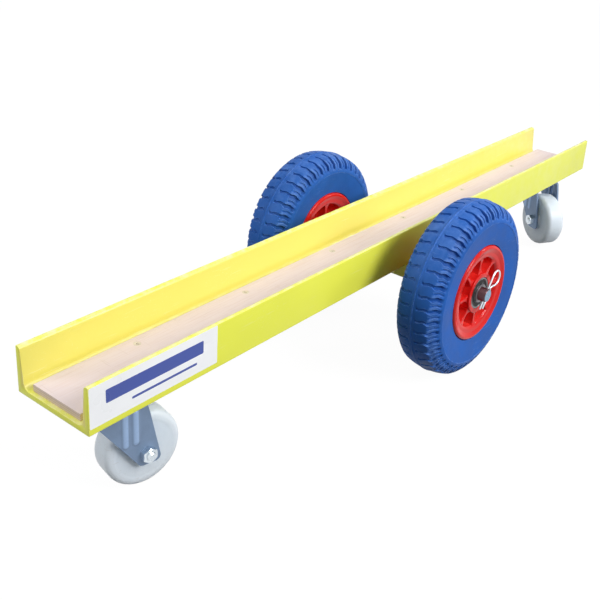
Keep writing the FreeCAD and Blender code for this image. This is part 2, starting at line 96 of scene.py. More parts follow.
class ChannelSettings(bpy.types.PropertyGroup):
    """Rolled steel channel that holds the slab"""
    web: length("Web", "Thickness of the floor", 7)
    flange: length("Flange", "Mean thickness of the two walls", 9)
    slope: share("Slope", "Lean of the walls' inner faces", 0.08)
    root_round: length("Root round", "Radius between floor and wall", 9)
    toe_round: length("Toe round", "Radius at the top of a wall's inner face", 4.5)
    corner_round: length("Corner round", "Radius of the outer corners", 1.6)
    end_bevel: length("End bevel", "Broken edge at the sawn ends", 0.7)
    paint: colour("Paint", "Yellow enamel", (240, 244, 84))
    # Painted highlight: near-white yellow for the edges of clean paint, where they catch the light
    paint_edge_highlight: colour("Paint edge", "Yellow where it is thin on the edges", (252, 248, 176))
    # Painted bounce light: a warmer, paler yellow for the inner walls above the board, standing in for light
    # thrown back from the board
    paint_inside_bounce_light: colour("Paint inside", "Yellow where slabs have rubbed it inside", (236, 220, 118))


class BoardSettings(bpy.types.PropertyGroup):
    """Plywood board and its screws"""
    edge_round: length("Edge round", "Radius of the board's long edges", 0.8)
    ply: length("Ply", "Thickness of one veneer", 1.3)
    columns: count("Columns", "Screws along the board", 6)
    spacing: length("Spacing", "From screw to screw along the board", 185)
    row_spacing: length("Row spacing", "Between the two rows of screws", 52)
    head_radius: length("Head radius", "Radius of a countersunk head", 4.8)
    head_height: length("Head height", "Height of a countersunk head", 2.6)
    shank_radius: length("Shank radius", "Radius over the thread", 2.4)
    screw_length: length("Screw length", "Whole length of a screw", 20)
    tip_length: length("Tip length", "Length of the point", 4)
    thread_pitch: length("Thread pitch", "From thread to thread", 1.25)
    wood: colour("Wood", "Pale face veneer", (236, 221, 224))
    grain: colour("Grain", "Darker lines of the veneer", (225, 203, 200))
    glue: colour("Glue", "Cross veneers at the edge", (226, 200, 166))


class AxleSettings(bpy.types.PropertyGroup):
    """Housing, axle, washers and hairpin clips"""
    housing_wall: length("Housing wall", "Wall of the square tube", 3.8)
    housing_round: length("Housing round", "Outer corner radius of the tube", 2.5)
    weld_leg: length("Weld leg", "Size of the weld between tube and channel", 5)
    weld_ripple: length("Weld ripple", "From ripple to ripple of the weld", 2.6)
    chamfer: length("Chamfer", "Chamfer at the axle's ends", 1.2)
    dimple: length("Dimple", "Depth of the centre mark in the axle's ends", 1.2)
    washer_bore: length("Washer bore", "Radius of the washers' holes", 10.1)
    wire_radius: length("Wire radius", "Radius of the clip's wire", 1.5)
    wire_gap: length("Wire gap", "Air between the axle and the clip's arch", 0.3)
    end_inset: length("End inset", "From the axle's end to the clip", 4)
    clip_angle: turn("Clip angle", "Lean of the clip's straight leg", 56)
    tail: length("Tail", "Straight leg below the axle", 22)
    neck: length("Neck", "From the axle to the clip's eye", 29.5)
    eye_radius: length("Eye radius", "Bend radius of the clip's eye", 11)
    eye_turn: turn("Eye turn", "Turn of the wire round the eye", 240)
    bend_radius: length("Bend radius", "Radius of the small bends", 3)
    arch_end: turn("Arch end", "How far round the axle the arch goes", 135)
    flare_turn: turn("Flare turn", "Turn of the flared end", 45)
    flare_tail: length("Flare tail", "Straight end of the clip", 9)


class TyreSettings(bpy.types.PropertyGroup):
    """Foam tyre with its moulded tread"""
    line_width: length("Line width", "Width of the raised mould line", 2)
    line_height: length("Line height", "Height of the raised mould line", 0.8)
    tread_width: length("Tread width", "Flat part of the tread", 46)
    tread_drop: length("Tread drop", "Fall from the middle to the edge of the tread", 4.5)
    tread_curve: length("Tread curve", "Radius of the tread across the tyre", 67)
    shoulder_radius: length("Shoulder radius", "Radius where the shoulder meets the flat side", 105)
    shoulder_curve: length("Shoulder curve", "Radius of the shoulder's curve", 34)
    shoulder_step: length("Shoulder step", "Depth of the step at the flat side", 0.5)
    side_curve: length("Side curve", "Radius of the flat side's curve", 400)
    bead_radius: length("Bead radius", "Radius of the opening for the rim's lip", 72)
    seat_radius: length("Seat radius", "Radius of the seat on the rim", 58)
    pitches: count("Pitches", "Tread pitches round the tyre", 45)
    groove_depth: length("Groove depth", "Depth of the wavy grooves", 2.5)
    shoulder_depth: length("Shoulder depth", "Depth of the grooves at the shoulder", 4.2)
    groove_share: share("Groove share", "Share of a pitch that a groove takes in the tread", 0.16)
    shoulder_share: share("Shoulder share", "Share of a pitch that a groove takes at the shoulder", 0.34)
    notch_depth: length("Notch depth", "Depth of the short shoulder notches", 1.5)
    notch_share: share("Notch share", "Share of a pitch that a notch takes", 0.13)
    groove_start: length("Groove start", "From the middle to a groove's inner end", 5.5)
    groove_end: length("Groove end", "From the middle to a groove's outer end", 44)
    widen_start: length("Widen start", "From the middle to where a groove gets wider", 17)
    notch_start: length("Notch start", "From the middle to a notch's inner end", 26)
    wave_height: length("Wave height", "Swing of a groove to either side", 0.9)
    wave_length: length("Wave length", "Length of one swing of a groove", 16)
    rubber: colour("Rubber", "Blue foam", (40, 93, 174))
    # Painted highlight as well as wear: paler blue for lug edges and tops that catch the light, and for worn
    # edges
    rubbed: colour("Rubbed and lit", "Paler blue of rubbed edges", (104, 144, 214))


class RimSettings(bpy.types.PropertyGroup):
    """Moulded rim and its bearings"""
    lip_radius: length("Lip radius", "Outer radius of the lip", 71)
    lip_thickness: length("Lip thickness", "Thickness of the lip", 5.5)
    lip_round: length("Lip round", "Radius of the lip's outer edge", 4.2)
    lip_width: length("Lip width", "From the lip's outer edge to its inner one", 4.8)
    band_width: length("Band width", "Width of the steeper part of the band inside the lip", 6)
    band_fall: length("Band fall", "Fall of the steeper part of the band", 2.4)
    band_drop: length("Band drop", "Fall from the lip to the pocket's edge", 3.4)
    barrel_radius: length("Barrel radius", "Radius of the pocket's outer wall", 51)
    barrel_round: length("Barrel round", "Radius of the pocket's outer edge", 6)
    web_thickness: length("Web thickness", "Floor between the two sides' pockets", 5)
    hub_radius: length("Hub radius", "Radius of the hub", 30)
    hub_end: length("Hub end", "From the middle plane to the hub's face", 32)
    ribs: count("Ribs", "Ribs on each side", 8)
    rib_height: length("Rib height", "From the middle plane to a rib's top", 28)
    rib_thickness: length("Rib thickness", "Thickness of a rib between its flares", 4.4)
    rib_flare: length("Rib flare", "Flare where a rib meets hub and barrel", 3.6)
    flare_length: length("Flare length", "How far the flare reaches along a rib", 2.6)
    bearing_radius: length("Bearing radius", "Outer radius of a bearing", 23.5)
    bearing_width: length("Bearing width", "Width of a bearing", 14)
    bearing_end: length("Bearing end", "From the middle plane to a bearing's face", 31.5)
    bearing_bore: length("Bearing bore", "Radius of a bearing's bore", 10.05)
    plastic: colour("Plastic", "Red of the rim", (218, 24, 20))
    # Painted light: brighter red for the pockets, lifting the shade that falls in them
    plastic_pocket_light: colour("Deep plastic", "Red of the rim's pockets", (255, 74, 66))


class CasterSettings(bpy.types.PropertyGroup):
    """Swivel casters"""
    trail: length("Trail", "From the swivel axis to the wheel's axle", 37)
    axle_drop: length("Axle drop", "From the channel to the wheel's axle", 88)
    near_turn: turn("Near turn", "How far the near caster is swung", 12)
    far_turn: turn("Far turn", "How far the far caster is swung", 121)
    plate_length: length("Plate length", "Length of the top plate", 105)
    plate_width: length("Plate width", "Width of the top plate", 85)
    plate_thickness: length("Plate thickness", "Thickness of the top plate", 4)
    hole_length: length("Hole length", "Between bolts along the plate", 80)
    hole_width: length("Hole width", "Between bolts across the plate", 60)
    race_radius: length("Race radius", "Radius of the ball race", 27)
    race_height: length("Race height", "Height of the ball race", 10)
    steel: length("Steel", "Thickness of the fork", 3.5)
    inner_width: length("Inner width", "Between the fork's legs", 42)
    crown_drop: length("Crown drop", "From the channel to the fork's crown", 14.3)
    bend_radius: length("Bend radius", "Outer bend radius of the fork", 6)
    fork_front: length("Fork front", "From the swivel axis to the fork's front edge", 28)
    fork_front_drop: length("Fork front drop", "Height of the fork's upright front edge", 12)
    fork_back: length("Fork back", "From the swivel axis to the back of the crown", 36)
    fork_shoulder_back: length("Fork shoulder back", "From the swivel axis to the fork's shoulder", 41)
    fork_shoulder_drop: length("Fork shoulder drop", "From the crown down to that shoulder", 20)
    foot_front: length("Foot front", "From the wheel's axle to the front of the foot", 9)
    foot_back: length("Foot back", "From the wheel's axle to the back of the foot", 13.5)
    foot_drop: length("Foot drop", "From the wheel's axle down to the foot's end", 15.5)
    heel_back: length("Heel back", "From the wheel's axle back to the heel", 17.5)
    heel_rise: length("Heel rise", "Height of the heel above the foot's end", 5)
    edge_round: length("Edge round", "Radius of the fork's wide corners", 16)
    foot_round: length("Foot round", "Radius of the foot's corners", 6)
    corner_round: length("Corner round", "Radius of the crown's corners", 3)
    bead_first: length("First bead", "From the swivel axis to the first pressed bead", 9.5)
    bead_second: length("Second bead", "From the swivel axis to the second bead", 22.5)
    bead_top: length("Bead top", "From the crown down to a bead's upper end", 14)
    bead_foot: length("Bead foot", "From the wheel's axle up to a bead's lower end", 20.5)
    bead_height: length("Bead height", "Height of the pressed beads", 2)
    bead_width: length("Bead width", "Half width of a pressed bead", 5.8)
    wheel_radius: length("Wheel radius", "Radius of the nylon wheel", 48)
    wheel_half: length("Wheel half", "Half of the wheel's width", 17)
    wheel_round: length("Wheel round", "Radius of the wheel's edges", 7)
    hub_half: length("Hub half", "Half of the hub's length", 20)
    hub_radius: length("Hub radius", "Radius of the wheel's hub", 14)
    dish_inner: length("Dish inner", "Inner radius of the dish in the wheel's side", 18)
    dish_outer: length("Dish outer", "Outer radius of that dish", 35.5)
    dish_rim: length("Dish rim", "Radius where the dish runs out", 38.5)
    dish_depth: length("Dish depth", "Depth of the dish", 0.35)
    nylon: colour("Nylon", "White of the wheels", (228, 239, 253))
    zinc: colour("Zinc", "Blue-passivated zinc of the forks", (126, 148, 178))


class StageSettings(bpy.types.PropertyGroup):
    """Floor, lamps and camera"""
    floor_size: length("Floor size", "Side of the square floor", 60000)
    floor_bounce: share("Floor bounce", "Share of the light that the floor throws back up", 0.06)
    floor_glow: share("Floor glow", "Share of the floor's white that no shadow dims", 0.93)
    ambient: share("Ambient", "Level of the even light from all sides", 0.38)
    sky: bpy.props.FloatProperty(name="Sky", description="Strength of the soft light from straight above",
                                 default=0.68, min=0)
    key: power("Key", "Power of the large lamp in front", 98)
    right: power("Right", "Power of the small lamp on the right", 21)
    left: power("Left", "Power of the low lamp behind on the left", 27)
    lens: bpy.props.FloatProperty(name="Lens", description="Focal length in millimetres", default=55.221,
                                  min=1, unit="CAMERA")
    camera_place: bpy.props.FloatVectorProperty(name="Camera place", description="Where the camera stands",
                                                default=(-1.078489, -0.695818, 0.715435), size=3,
                                                precision=6, subtype="XYZ", unit="LENGTH")
    azimuth: turn("Azimuth", "Direction of view, from X towards Y", 37.7372)
    elevation: turn("Elevation", "Direction of view above the level", -22.2513)
    roll: turn("Roll", "Turn of the camera about its own view", 3.4868)
    shift_x: bpy.props.FloatProperty(name="Shift X", description="Sideways shift of the frame",
                                     default=-0.01988)
    shift_y: bpy.props.FloatProperty(name="Shift Y", description="Upward shift of the frame",
                                     default=-0.14284)


class DollySettings(bpy.types.PropertyGroup):
    """Everything that can be set on the dolly"""
    channel: bpy.props.PointerProperty(type=ChannelSettings)
    board: bpy.props.PointerProperty(type=BoardSettings)
    axle: bpy.props.PointerProperty(type=AxleSettings)
    tyre: bpy.props.PointerProperty(type=TyreSettings)
    rim: bpy.props.PointerProperty(type=RimSettings)
    caster: bpy.props.PointerProperty(type=CasterSettings)
    stage: bpy.props.PointerProperty(type=StageSettings)


# Forms

def outline(corners, steps=6):
    """Outline through (across, along, radius) corners, with an arc of short steps at each rounded one."""
    points = []
    for index, (across, along, radius) in enumerate(corners):
        corner = Vector((across, along))
        if radius == 0:
            points.append(corner)
            continue
        back = (Vector(corners[index - 1][:2]) - corner).normalized()
        ahead = (Vector(corners[(index + 1) % len(corners)][:2]) - corner).normalized()
        half = back.angle(ahead) / 2
        middle = corner + (back + ahead).normalized() * (radius / math.sin(half))
        start = corner + back * (radius / math.tan(half)) - middle
        sweep = math.pi - 2 * half
        if back.cross(ahead) > 0:
            sweep = -sweep
        for step in range(steps + 1):
            points.append(middle + Matrix.Rotation(sweep * step / steps, 2) @ start)
    return points


def looped(rings, round_rings=True, round_run=True):
    """Points and faces of a skin through rings of equally many points."""
    wide = len(rings[0])
    faces = []
    for row in range(len(rings) if round_run else len(rings) - 1):
        ahead = (row + 1) % len(rings)
        for column in range(wide if round_rings else wide - 1):
            right = (column + 1) % wide
            faces.append((row * wide + column, row * wide + right,
                          ahead * wide + right, ahead * wide + column))
    return [point for ring in rings for point in ring], faces


def turned(profile, steps=96, closed=True, axis="Y"):
    """Skin of an outline of (radius, along) points turned about an axis."""
    rings = []
    for step in range(steps):
        angle = math.tau * step / steps
        one, two = math.cos(angle), math.sin(angle)
        if axis == "Y":
            rings.append([Vector((radius * one, along, radius * two)) for radius, along in profile])
        else:
            rings.append([Vector((radius * one, radius * two, along)) for radius, along in profile])
    return looped(rings, round_rings=closed)


def drawn(points, start, end, along="X"):
    """Solid of a flat outline drawn out along an axis, with a face at each end."""
    place = {"X": lambda p, d: Vector((d, p[0], p[1])), "Y": lambda p, d: Vector((p[0], d, p[1])),
             "Z": lambda p, d: Vector((p[0], p[1], d))}[along]
    rings = [[place(point, distance) for point in points] for distance in (start, end)]
    skin, faces = looped(rings, round_run=False)
    wide = len(points)
    return skin, faces + [tuple(range(wide)), tuple(range(wide, 2 * wide))]


def rectangle(low, high, rounding, steps=6):
    """Outline of a rectangle between two corners, rounded alike at all four."""
    (left, foot), (right, top) = low, high
    return outline([(left, foot, rounding), (right, foot, rounding), (right, top, rounding),
                    (left, top, rounding)], steps)


def ring_outline(inner, outer, half, inner_round, outer_round, steps):
    """Section of a ring, with one radius for the edges of its bore and one for its outer edges."""
    return outline([(inner, -half, inner_round), (outer, -half, outer_round), (outer, half, outer_round),
                    (inner, half, inner_round)], steps)


def both_sides(side):
    """Closed section made of a half that starts and ends on the middle plane."""
    return side + [Vector((across, -along)) for across, along in side[-2:0:-1]]


def moved(part, place):
    """Part shifted by a vector or carried by a matrix."""
    points, faces = part
    if isinstance(place, Matrix):
        return [place @ point for point in points], faces
    return [point + place for point in points], faces


def close_up(mesh, crease=38):
    """Closes a mesh's seams and poles, turns its faces outward and shades it smooth between its creases."""
    form = bmesh.new()
    form.from_mesh(mesh)
    bmesh.ops.remove_doubles(form, verts=form.verts, dist=1e-6)
    bmesh.ops.recalc_face_normals(form, faces=form.faces)
    form.to_mesh(mesh)
    form.free()
    mesh.shade_smooth()
    mesh.set_sharp_from_angle(angle=math.radians(crease))


def linked(name, data):
    """Object in the scene for a mesh, a lamp or a camera."""
    item = bpy.data.objects.new(name, data)
    bpy.context.scene.collection.objects.link(item)
    return item


def new_piece(name, parts, finishes, crease=38):
    """Mesh object of parts, where part number n wears finish number n or the last one."""
    points = []
    faces = []
    wear = []
    for number, (part_points, part_faces) in enumerate(parts):
        shift = len(points)
        points.extend(part_points)
        faces.extend([tuple(index + shift for index in face) for face in part_faces])
        wear.extend([min(number, len(finishes) - 1)] * len(part_faces))
    mesh = bpy.data.meshes.new(name)
    mesh.from_pydata(points, [], faces)
    mesh.polygons.foreach_set("material_index", wear)
    for finish in finishes:
        mesh.materials.append(finish)
    close_up(mesh, crease)
    return linked(name, mesh)


def keep_result(piece, crease=38):
    """Turns a piece with its modifiers into one plain mesh."""
    bpy.context.view_layer.update()
    shaped = piece.evaluated_get(bpy.context.evaluated_depsgraph_get())
    mesh = bpy.data.meshes.new_from_object(shaped)
    piece.modifiers.clear()
    piece.data = mesh
    mesh.name = piece.name
    close_up(mesh, crease)


def break_edges(piece, width, segments=2, angle=50):
    """Rounds a piece's sharp edges a little."""
    bevel = piece.modifiers.new("Broken edges", "BEVEL")
    bevel.width = width
    bevel.segments = segments
    bevel.limit_method = "ANGLE"
    bevel.angle_limit = math.radians(angle)
    keep_result(piece)


def cut_away(piece, cutter):
    """Takes the cutter's form out of a piece and removes the cutter."""
    cut = piece.modifiers.new("Cut", "BOOLEAN")
    cut.operation = "DIFFERENCE"
    cut.object = cutter
    keep_result(piece)
    bpy.data.objects.remove(cutter)


def mark(mesh, name, values):
    """Gives each point of a mesh a value that a finish or a node tree finds by its name."""
    mesh.attributes.new(name, "FLOAT", "POINT").data.foreach_set("value", values)


def hand_over(piece, body, nodes):
    """Puts a finished piece on its body in place of the plain nodes."""
    if nodes:
        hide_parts(*nodes)
    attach(piece, body)


def middle_of(node):
    low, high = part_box(node)
    return (low + high) / 2


def smooth_step(value, start, end):
    """0 before start, 1 after end, and an even rise between them."""
    part = min(max((value - start) / (end - start), 0), 1)
    return part * part * (3 - 2 * part)


def thread(radius, start, end, pitch, depth=0.12):
    """Profile points of a threaded rod from start to end."""
    turns = max(2, round(abs(end - start) / pitch))
    points = []
    for number in range(turns):
        for part, cut in ((0.0, depth), (0.4, 0.0), (0.6, 0.0)):
            points.append((radius * (1 - cut), start + (end - start) * (number + part) / turns))
    points.append((radius * (1 - depth), end))
    return points


def hexagon(flats, start, end, bore):
    """Hexagonal nut or head about Y, chamfered at its far end."""
    inner = flats / 2
    face = 0.96 * inner
    soft = 0.06 * inner
    rings = []
    side = 1 if end > start else -1
    for step in range(48):
        angle = math.tau * step / 48
        lean = (angle + math.pi / 6) % (math.pi / 3) - math.pi / 6
        corner = inner / math.cos(lean)
        low = end - side * (corner - face) * 0.6
        ring = []
        for radius, along in ((bore, start), (corner, start), (corner, low), (face, end),
                              (bore + soft, end), (bore, end - side * soft)):
            ring.append(Vector((radius * math.cos(angle), along, radius * math.sin(angle))))
        rings.append(ring)
    return looped(rings)


# Node trees for what repeats

FORM = ("Geometry", "NodeSocketGeometry")
MASK = ("Mask", "NodeSocketFloat")


def put(tree, kind, inputs=None, **settings):
    """Adds a node and sets its inputs, each to a value or from another node's output."""
    node = tree.nodes.new(kind)
    for key, value in settings.items():
        setattr(node, key, value)
    for key, value in (inputs or {}).items():
        if isinstance(value, bpy.types.NodeSocket):
            tree.links.new(value, node.inputs[key])
        else:
            node.inputs[key].default_value = value
    return node


def math_of(tree, operation, *values):
    return put(tree, "ShaderNodeMath", dict(enumerate(values)), operation=operation).outputs[0]


def product(tree, first, *others):
    """Product of two or more values."""
    for other in others:
        first = math_of(tree, "MULTIPLY", first, other)
    return first


def new_tree(name, kind, result, inputs):
    """Node tree with named inputs and one result, what the inputs give, and where the result goes."""
    tree = bpy.data.node_groups.new(name, kind)
    for label, socket, default in inputs:
        made = tree.interface.new_socket(label, in_out="INPUT", socket_type=socket)
        if default is not None:
            made.default_value = default
    tree.interface.new_socket(result[0], in_out="OUTPUT", socket_type=result[1])
    return tree, tree.nodes.new("NodeGroupInput").outputs, tree.nodes.new("NodeGroupOutput").inputs[0]


def finish_tree(tree, geometry, material, result):
    """Ends a tree in real geometry that wears its material."""
    real = put(tree, "GeometryNodeRealizeInstances", {"Geometry": geometry}).outputs[0]
    merged = put(tree, "GeometryNodeMergeByDistance", {"Geometry": real, "Distance": 2e-6}).outputs[0]
    worn = put(tree, "GeometryNodeSetMaterial", {"Geometry": merged, "Material": material}).outputs[0]
    tree.links.new(worn, result)
    return tree


def finish_copies(tree, given, result, points, axis, angle):
    """Ends a tree in copies of its part on points, each turned about an axis, all shifted to their place."""
    swing = put(tree, "FunctionNodeAxisAngleToRotation", {"Axis": axis, "Angle": angle}).outputs[0]
    copies = put(tree, "GeometryNodeInstanceOnPoints",
                 {"Points": points, "Instance": given["Part"], "Rotation": swing}).outputs[0]
    placed = put(tree, "GeometryNodeTransform",
                 {"Geometry": copies, "Translation": given["Place"]}).outputs[0]
    return finish_tree(tree, placed, given["Material"], result)


def ring_tree():
    """Copies of a part set evenly round the Y axis, then shifted to their place."""
    tree, given, result = new_tree("Ring of parts", "GeometryNodeTree", FORM, (
        ("Part", "NodeSocketGeometry", None),
        ("Count", "NodeSocketInt", 8),
        ("Place", "NodeSocketVector", None),
        ("Material", "NodeSocketMaterial", None),
    ))
    points = put(tree, "GeometryNodePoints", {"Count": given["Count"]}).outputs[0]
    number = tree.nodes.new("GeometryNodeInputIndex").outputs[0]
    angle = math_of(tree, "DIVIDE", product(tree, number, math.tau), given["Count"])
    return finish_copies(tree, given, result, points, (0, 1, 0), angle)


def rows_tree():
    """Copies of a part in straight rows, each turned about Z by chance."""
    tree, given, result = new_tree("Rows of parts", "GeometryNodeTree", FORM, (
        ("Part", "NodeSocketGeometry", None),
        ("Columns", "NodeSocketInt", 2),
        ("Rows", "NodeSocketInt", 2),
        ("Length", "NodeSocketFloat", 0.1),
        ("Width", "NodeSocketFloat", 0.1),
        ("Place", "NodeSocketVector", None),
        ("Seed", "NodeSocketInt", 3),
        ("Material", "NodeSocketMaterial", None),
    ))
    grid = put(tree, "GeometryNodeMeshGrid", {
        "Size X": given["Length"], "Size Y": given["Width"],
        "Vertices X": given["Columns"], "Vertices Y": given["Rows"],
    }).outputs[0]
    chance = put(tree, "FunctionNodeRandomValue", {2: 0.0, 3: math.tau, "Seed": given["Seed"]},
                 data_type="FLOAT").outputs[1]
    return finish_copies(tree, given, result, grid, (0, 0, 1), chance)


def wire_tree():
    """Round wire along a path, thinned where the path's thickness is under one."""
    tree, given, result = new_tree("Wire on a path", "GeometryNodeTree", FORM, (
        ("Path", "NodeSocketGeometry", None),
        ("Radius", "NodeSocketFloat", 0.002),
        ("Sides", "NodeSocketInt", 16),
        ("Material", "NodeSocketMaterial", None),
    ))
    path = put(tree, "GeometryNodeMeshToCurve", {"Mesh": given["Path"]}).outputs[0]
    ring = put(tree, "GeometryNodeCurvePrimitiveCircle",
               {"Resolution": given["Sides"], "Radius": given["Radius"]}).outputs[0]
    thickness = put(tree, "GeometryNodeInputNamedAttribute", {"Name": "thickness"},
                    data_type="FLOAT").outputs[0]
    wire = put(tree, "GeometryNodeCurveToMesh",
               {"Curve": path, "Profile Curve": ring, "Scale": thickness, "Fill Caps": True}).outputs[0]
    return finish_tree(tree, wire, given["Material"], result)


def grow(piece, tree, values, crease=38):
    """Runs a node tree on a piece and keeps what it gives as a plain mesh."""
    modifier = piece.modifiers.new(tree.name, "NODES")
    modifier.node_group = tree
    for socket in tree.interface.items_tree:
        if socket.name in values and socket.in_out == "INPUT":
            modifier[socket.identifier] = values[socket.name]
    keep_result(piece, crease)


def tree_named(name, maker):
    """Tree that is made once and then shared."""
    return bpy.data.node_groups.get(name) or maker()


# Effects that several finishes share

def object_place(tree, scale=(1, 1, 1), rotation=(0, 0, 0)):
    """Object coordinates, stretched by a scale."""
    place = put(tree, "ShaderNodeTexCoord").outputs["Object"]
    return put(tree, "ShaderNodeMapping", {"Vector": place, "Scale": scale, "Rotation": rotation}).outputs[0]


def coordinate(tree, kind, axis):
    """One coordinate, 0 to 2 for X to Z, of the "Object" place or of the "Normal"."""
    vector = put(tree, "ShaderNodeTexCoord").outputs[kind]
    return put(tree, "ShaderNodeSeparateXYZ", {0: vector}).outputs[axis]


def mark_of(tree, name):
    """Value that the points of a mesh are marked with."""
    return put(tree, "ShaderNodeAttribute", attribute_name=name).outputs["Fac"]


def blur_map(tree, value, low, high):
    """0 where the value is low, 1 where it is high, and an even change between them."""
    return put(tree, "ShaderNodeMapRange", {"Value": value, "From Min": low, "From Max": high},
               interpolation_type="SMOOTHSTEP").outputs[0]


def noise(tree, place, scale, detail=3.0, roughness=0.5):
    return put(tree, "ShaderNodeTexNoise", {"Vector": place, "Scale": scale, "Detail": detail,
                                            "Roughness": roughness}).outputs[0]


def worn_and_lit_edges():
    """Mask of outer edges, broken up by noise: real wear on some finishes, painted highlight on the paint and
    partly on the tyres.
    """
    tree, given, result = new_tree("Edge wear", "ShaderNodeTree", MASK, (
        ("Radius", "NodeSocketFloat", 0.001), ("Scale", "NodeSocketFloat", 60),
        ("Amount", "NodeSocketFloat", 1.0),
    ))
    rounded = put(tree, "ShaderNodeBevel", {"Radius": given["Radius"]}, samples=6).outputs[0]
    normal = put(tree, "ShaderNodeNewGeometry").outputs["Normal"]
    same = put(tree, "ShaderNodeVectorMath", {0: rounded, 1: normal}, operation="DOT_PRODUCT")
    edge = blur_map(tree, same.outputs["Value"], 0.995, 0.93)
    chips = blur_map(tree, noise(tree, object_place(tree), given["Scale"], 6, 0.65), 0.42, 0.62)
    tree.links.new(product(tree, edge, chips, given["Amount"]), result)
    return tree


def mottle():
    """Soft blotches from 0 to 1."""
    tree, given, result = new_tree("Mottle", "ShaderNodeTree", MASK, (
        ("Scale", "NodeSocketFloat", 12), ("Detail", "NodeSocketFloat", 4),
        ("Stretch", "NodeSocketVector", None),
    ))
    place = put(tree, "ShaderNodeTexCoord").outputs["Object"]
    wide = put(tree, "ShaderNodeVectorMath", {0: place, 1: given["Stretch"]}, operation="MULTIPLY").outputs[0]
    cloud = noise(tree, wide, given["Scale"], given["Detail"], 0.55)
    tree.links.new(blur_map(tree, cloud, 0.3, 0.7), result)
    return tree


def dust_and_lit_tops():
    """Mask of what faces up, broken up by noise: real dust on the seals, painted highlight from above on the
    paint and the tyres.
    """
    tree, given, result = new_tree("Dust", "ShaderNodeTree", MASK, (
        ("Scale", "NodeSocketFloat", 30), ("Amount", "NodeSocketFloat", 0.3),
    ))
    lying = blur_map(tree, coordinate(tree, "Normal", 2), 0.2, 1.0)
    cloud = blur_map(tree, noise(tree, object_place(tree), given["Scale"], 8, 0.7), 0.35, 0.75)
    tree.links.new(product(tree, lying, cloud, given["Amount"]), result)
    return tree


def scuffs():
    """Mask of fine scratches in two directions."""
    tree, given, result = new_tree("Scuffs", "ShaderNodeTree", MASK, (
        ("Scale", "NodeSocketFloat", 30), ("Amount", "NodeSocketFloat", 0.5),
    ))
    marks = []
    for stretch, lean in (((1, 22, 22), 0.35), ((26, 1.4, 26), -0.5)):
        place = object_place(tree, stretch, (0.2, lean, lean))
        marks.append(blur_map(tree, noise(tree, place, given["Scale"], 2, 0.4), 0.66, 0.72))
    patch = blur_map(tree, noise(tree, object_place(tree), 14, 3), 0.45, 0.62)
    both = math_of(tree, "MAXIMUM", *marks)
    tree.links.new(product(tree, both, patch, given["Amount"]), result)
    return tree


EFFECTS = {"Edge wear": worn_and_lit_edges, "Mottle": mottle, "Dust": dust_and_lit_tops, "Scuffs": scuffs}


def bare_tree(owner):
    """Emptied node tree of a material or a world."""
    owner.use_nodes = True
    owner.node_tree.nodes.clear()
    return owner.node_tree


class Recipe:
    """A finish while its nodes are put together."""

    def __init__(self, name, **inputs):
        self.material = bpy.data.materials.new(name)
        self.tree = bare_tree(self.material)
        values = {key.replace("_", " ").title().replace("Ior", "IOR"): value
                  for key, value in inputs.items()}
        self.shader = put(self.tree, "ShaderNodeBsdfPrincipled", values)
        put(self.tree, "ShaderNodeOutputMaterial", {"Surface": self.shader.outputs[0]})

    def effect(self, name, **inputs):
        """Mask of a shared effect with this finish's own values."""
        group = self.tree.nodes.new("ShaderNodeGroup")
        group.node_tree = tree_named(name, EFFECTS[name])
        for key, value in inputs.items():
            group.inputs[key.title()].default_value = value
        return group.outputs["Mask"]

    def cloud(self, scale, detail, stretch=(1, 1, 1)):
        return self.effect("Mottle", scale=scale, detail=detail, stretch=stretch)

    def mix(self, mask, first, second):
        """First colour where the mask is 0, second where it is 1."""
        values = {0: mask, 6: shade(first), 7: shade(second)}
        return put(self.tree, "ShaderNodeMix", values, data_type="RGBA").outputs[2]

    def cover(self, body, tint, effect, **inputs):
        """Body colour with a tint on it where a shared effect's mask says so."""
        return self.mix(self.effect(effect, **inputs), body, tint)

    def spread(self, mask, start, end):
        values = {"Value": mask, "To Min": start, "To Max": end}
        return put(self.tree, "ShaderNodeMapRange", values).outputs[0]

    def feed(self, **sources):
        """Links varying values to the shader's inputs."""
        for key, source in sources.items():
            self.tree.links.new(source, self.shader.inputs[key.replace("_", " ").title()])

    def bump(self, height, distance, strength):
        """Bump of a height map, with its depth in metres."""
        values = {"Height": height, "Distance": distance, "Strength": strength}
        self.feed(normal=put(self.tree, "ShaderNodeBump", values).outputs[0])


def shade(value):
    """Colour with its alpha, or a node's output as it is."""
    return value if isinstance(value, bpy.types.NodeSocket) else (*value[:3], 1)


def scaled(value, factor):
    return tuple(min(part * factor, 1) for part in value)


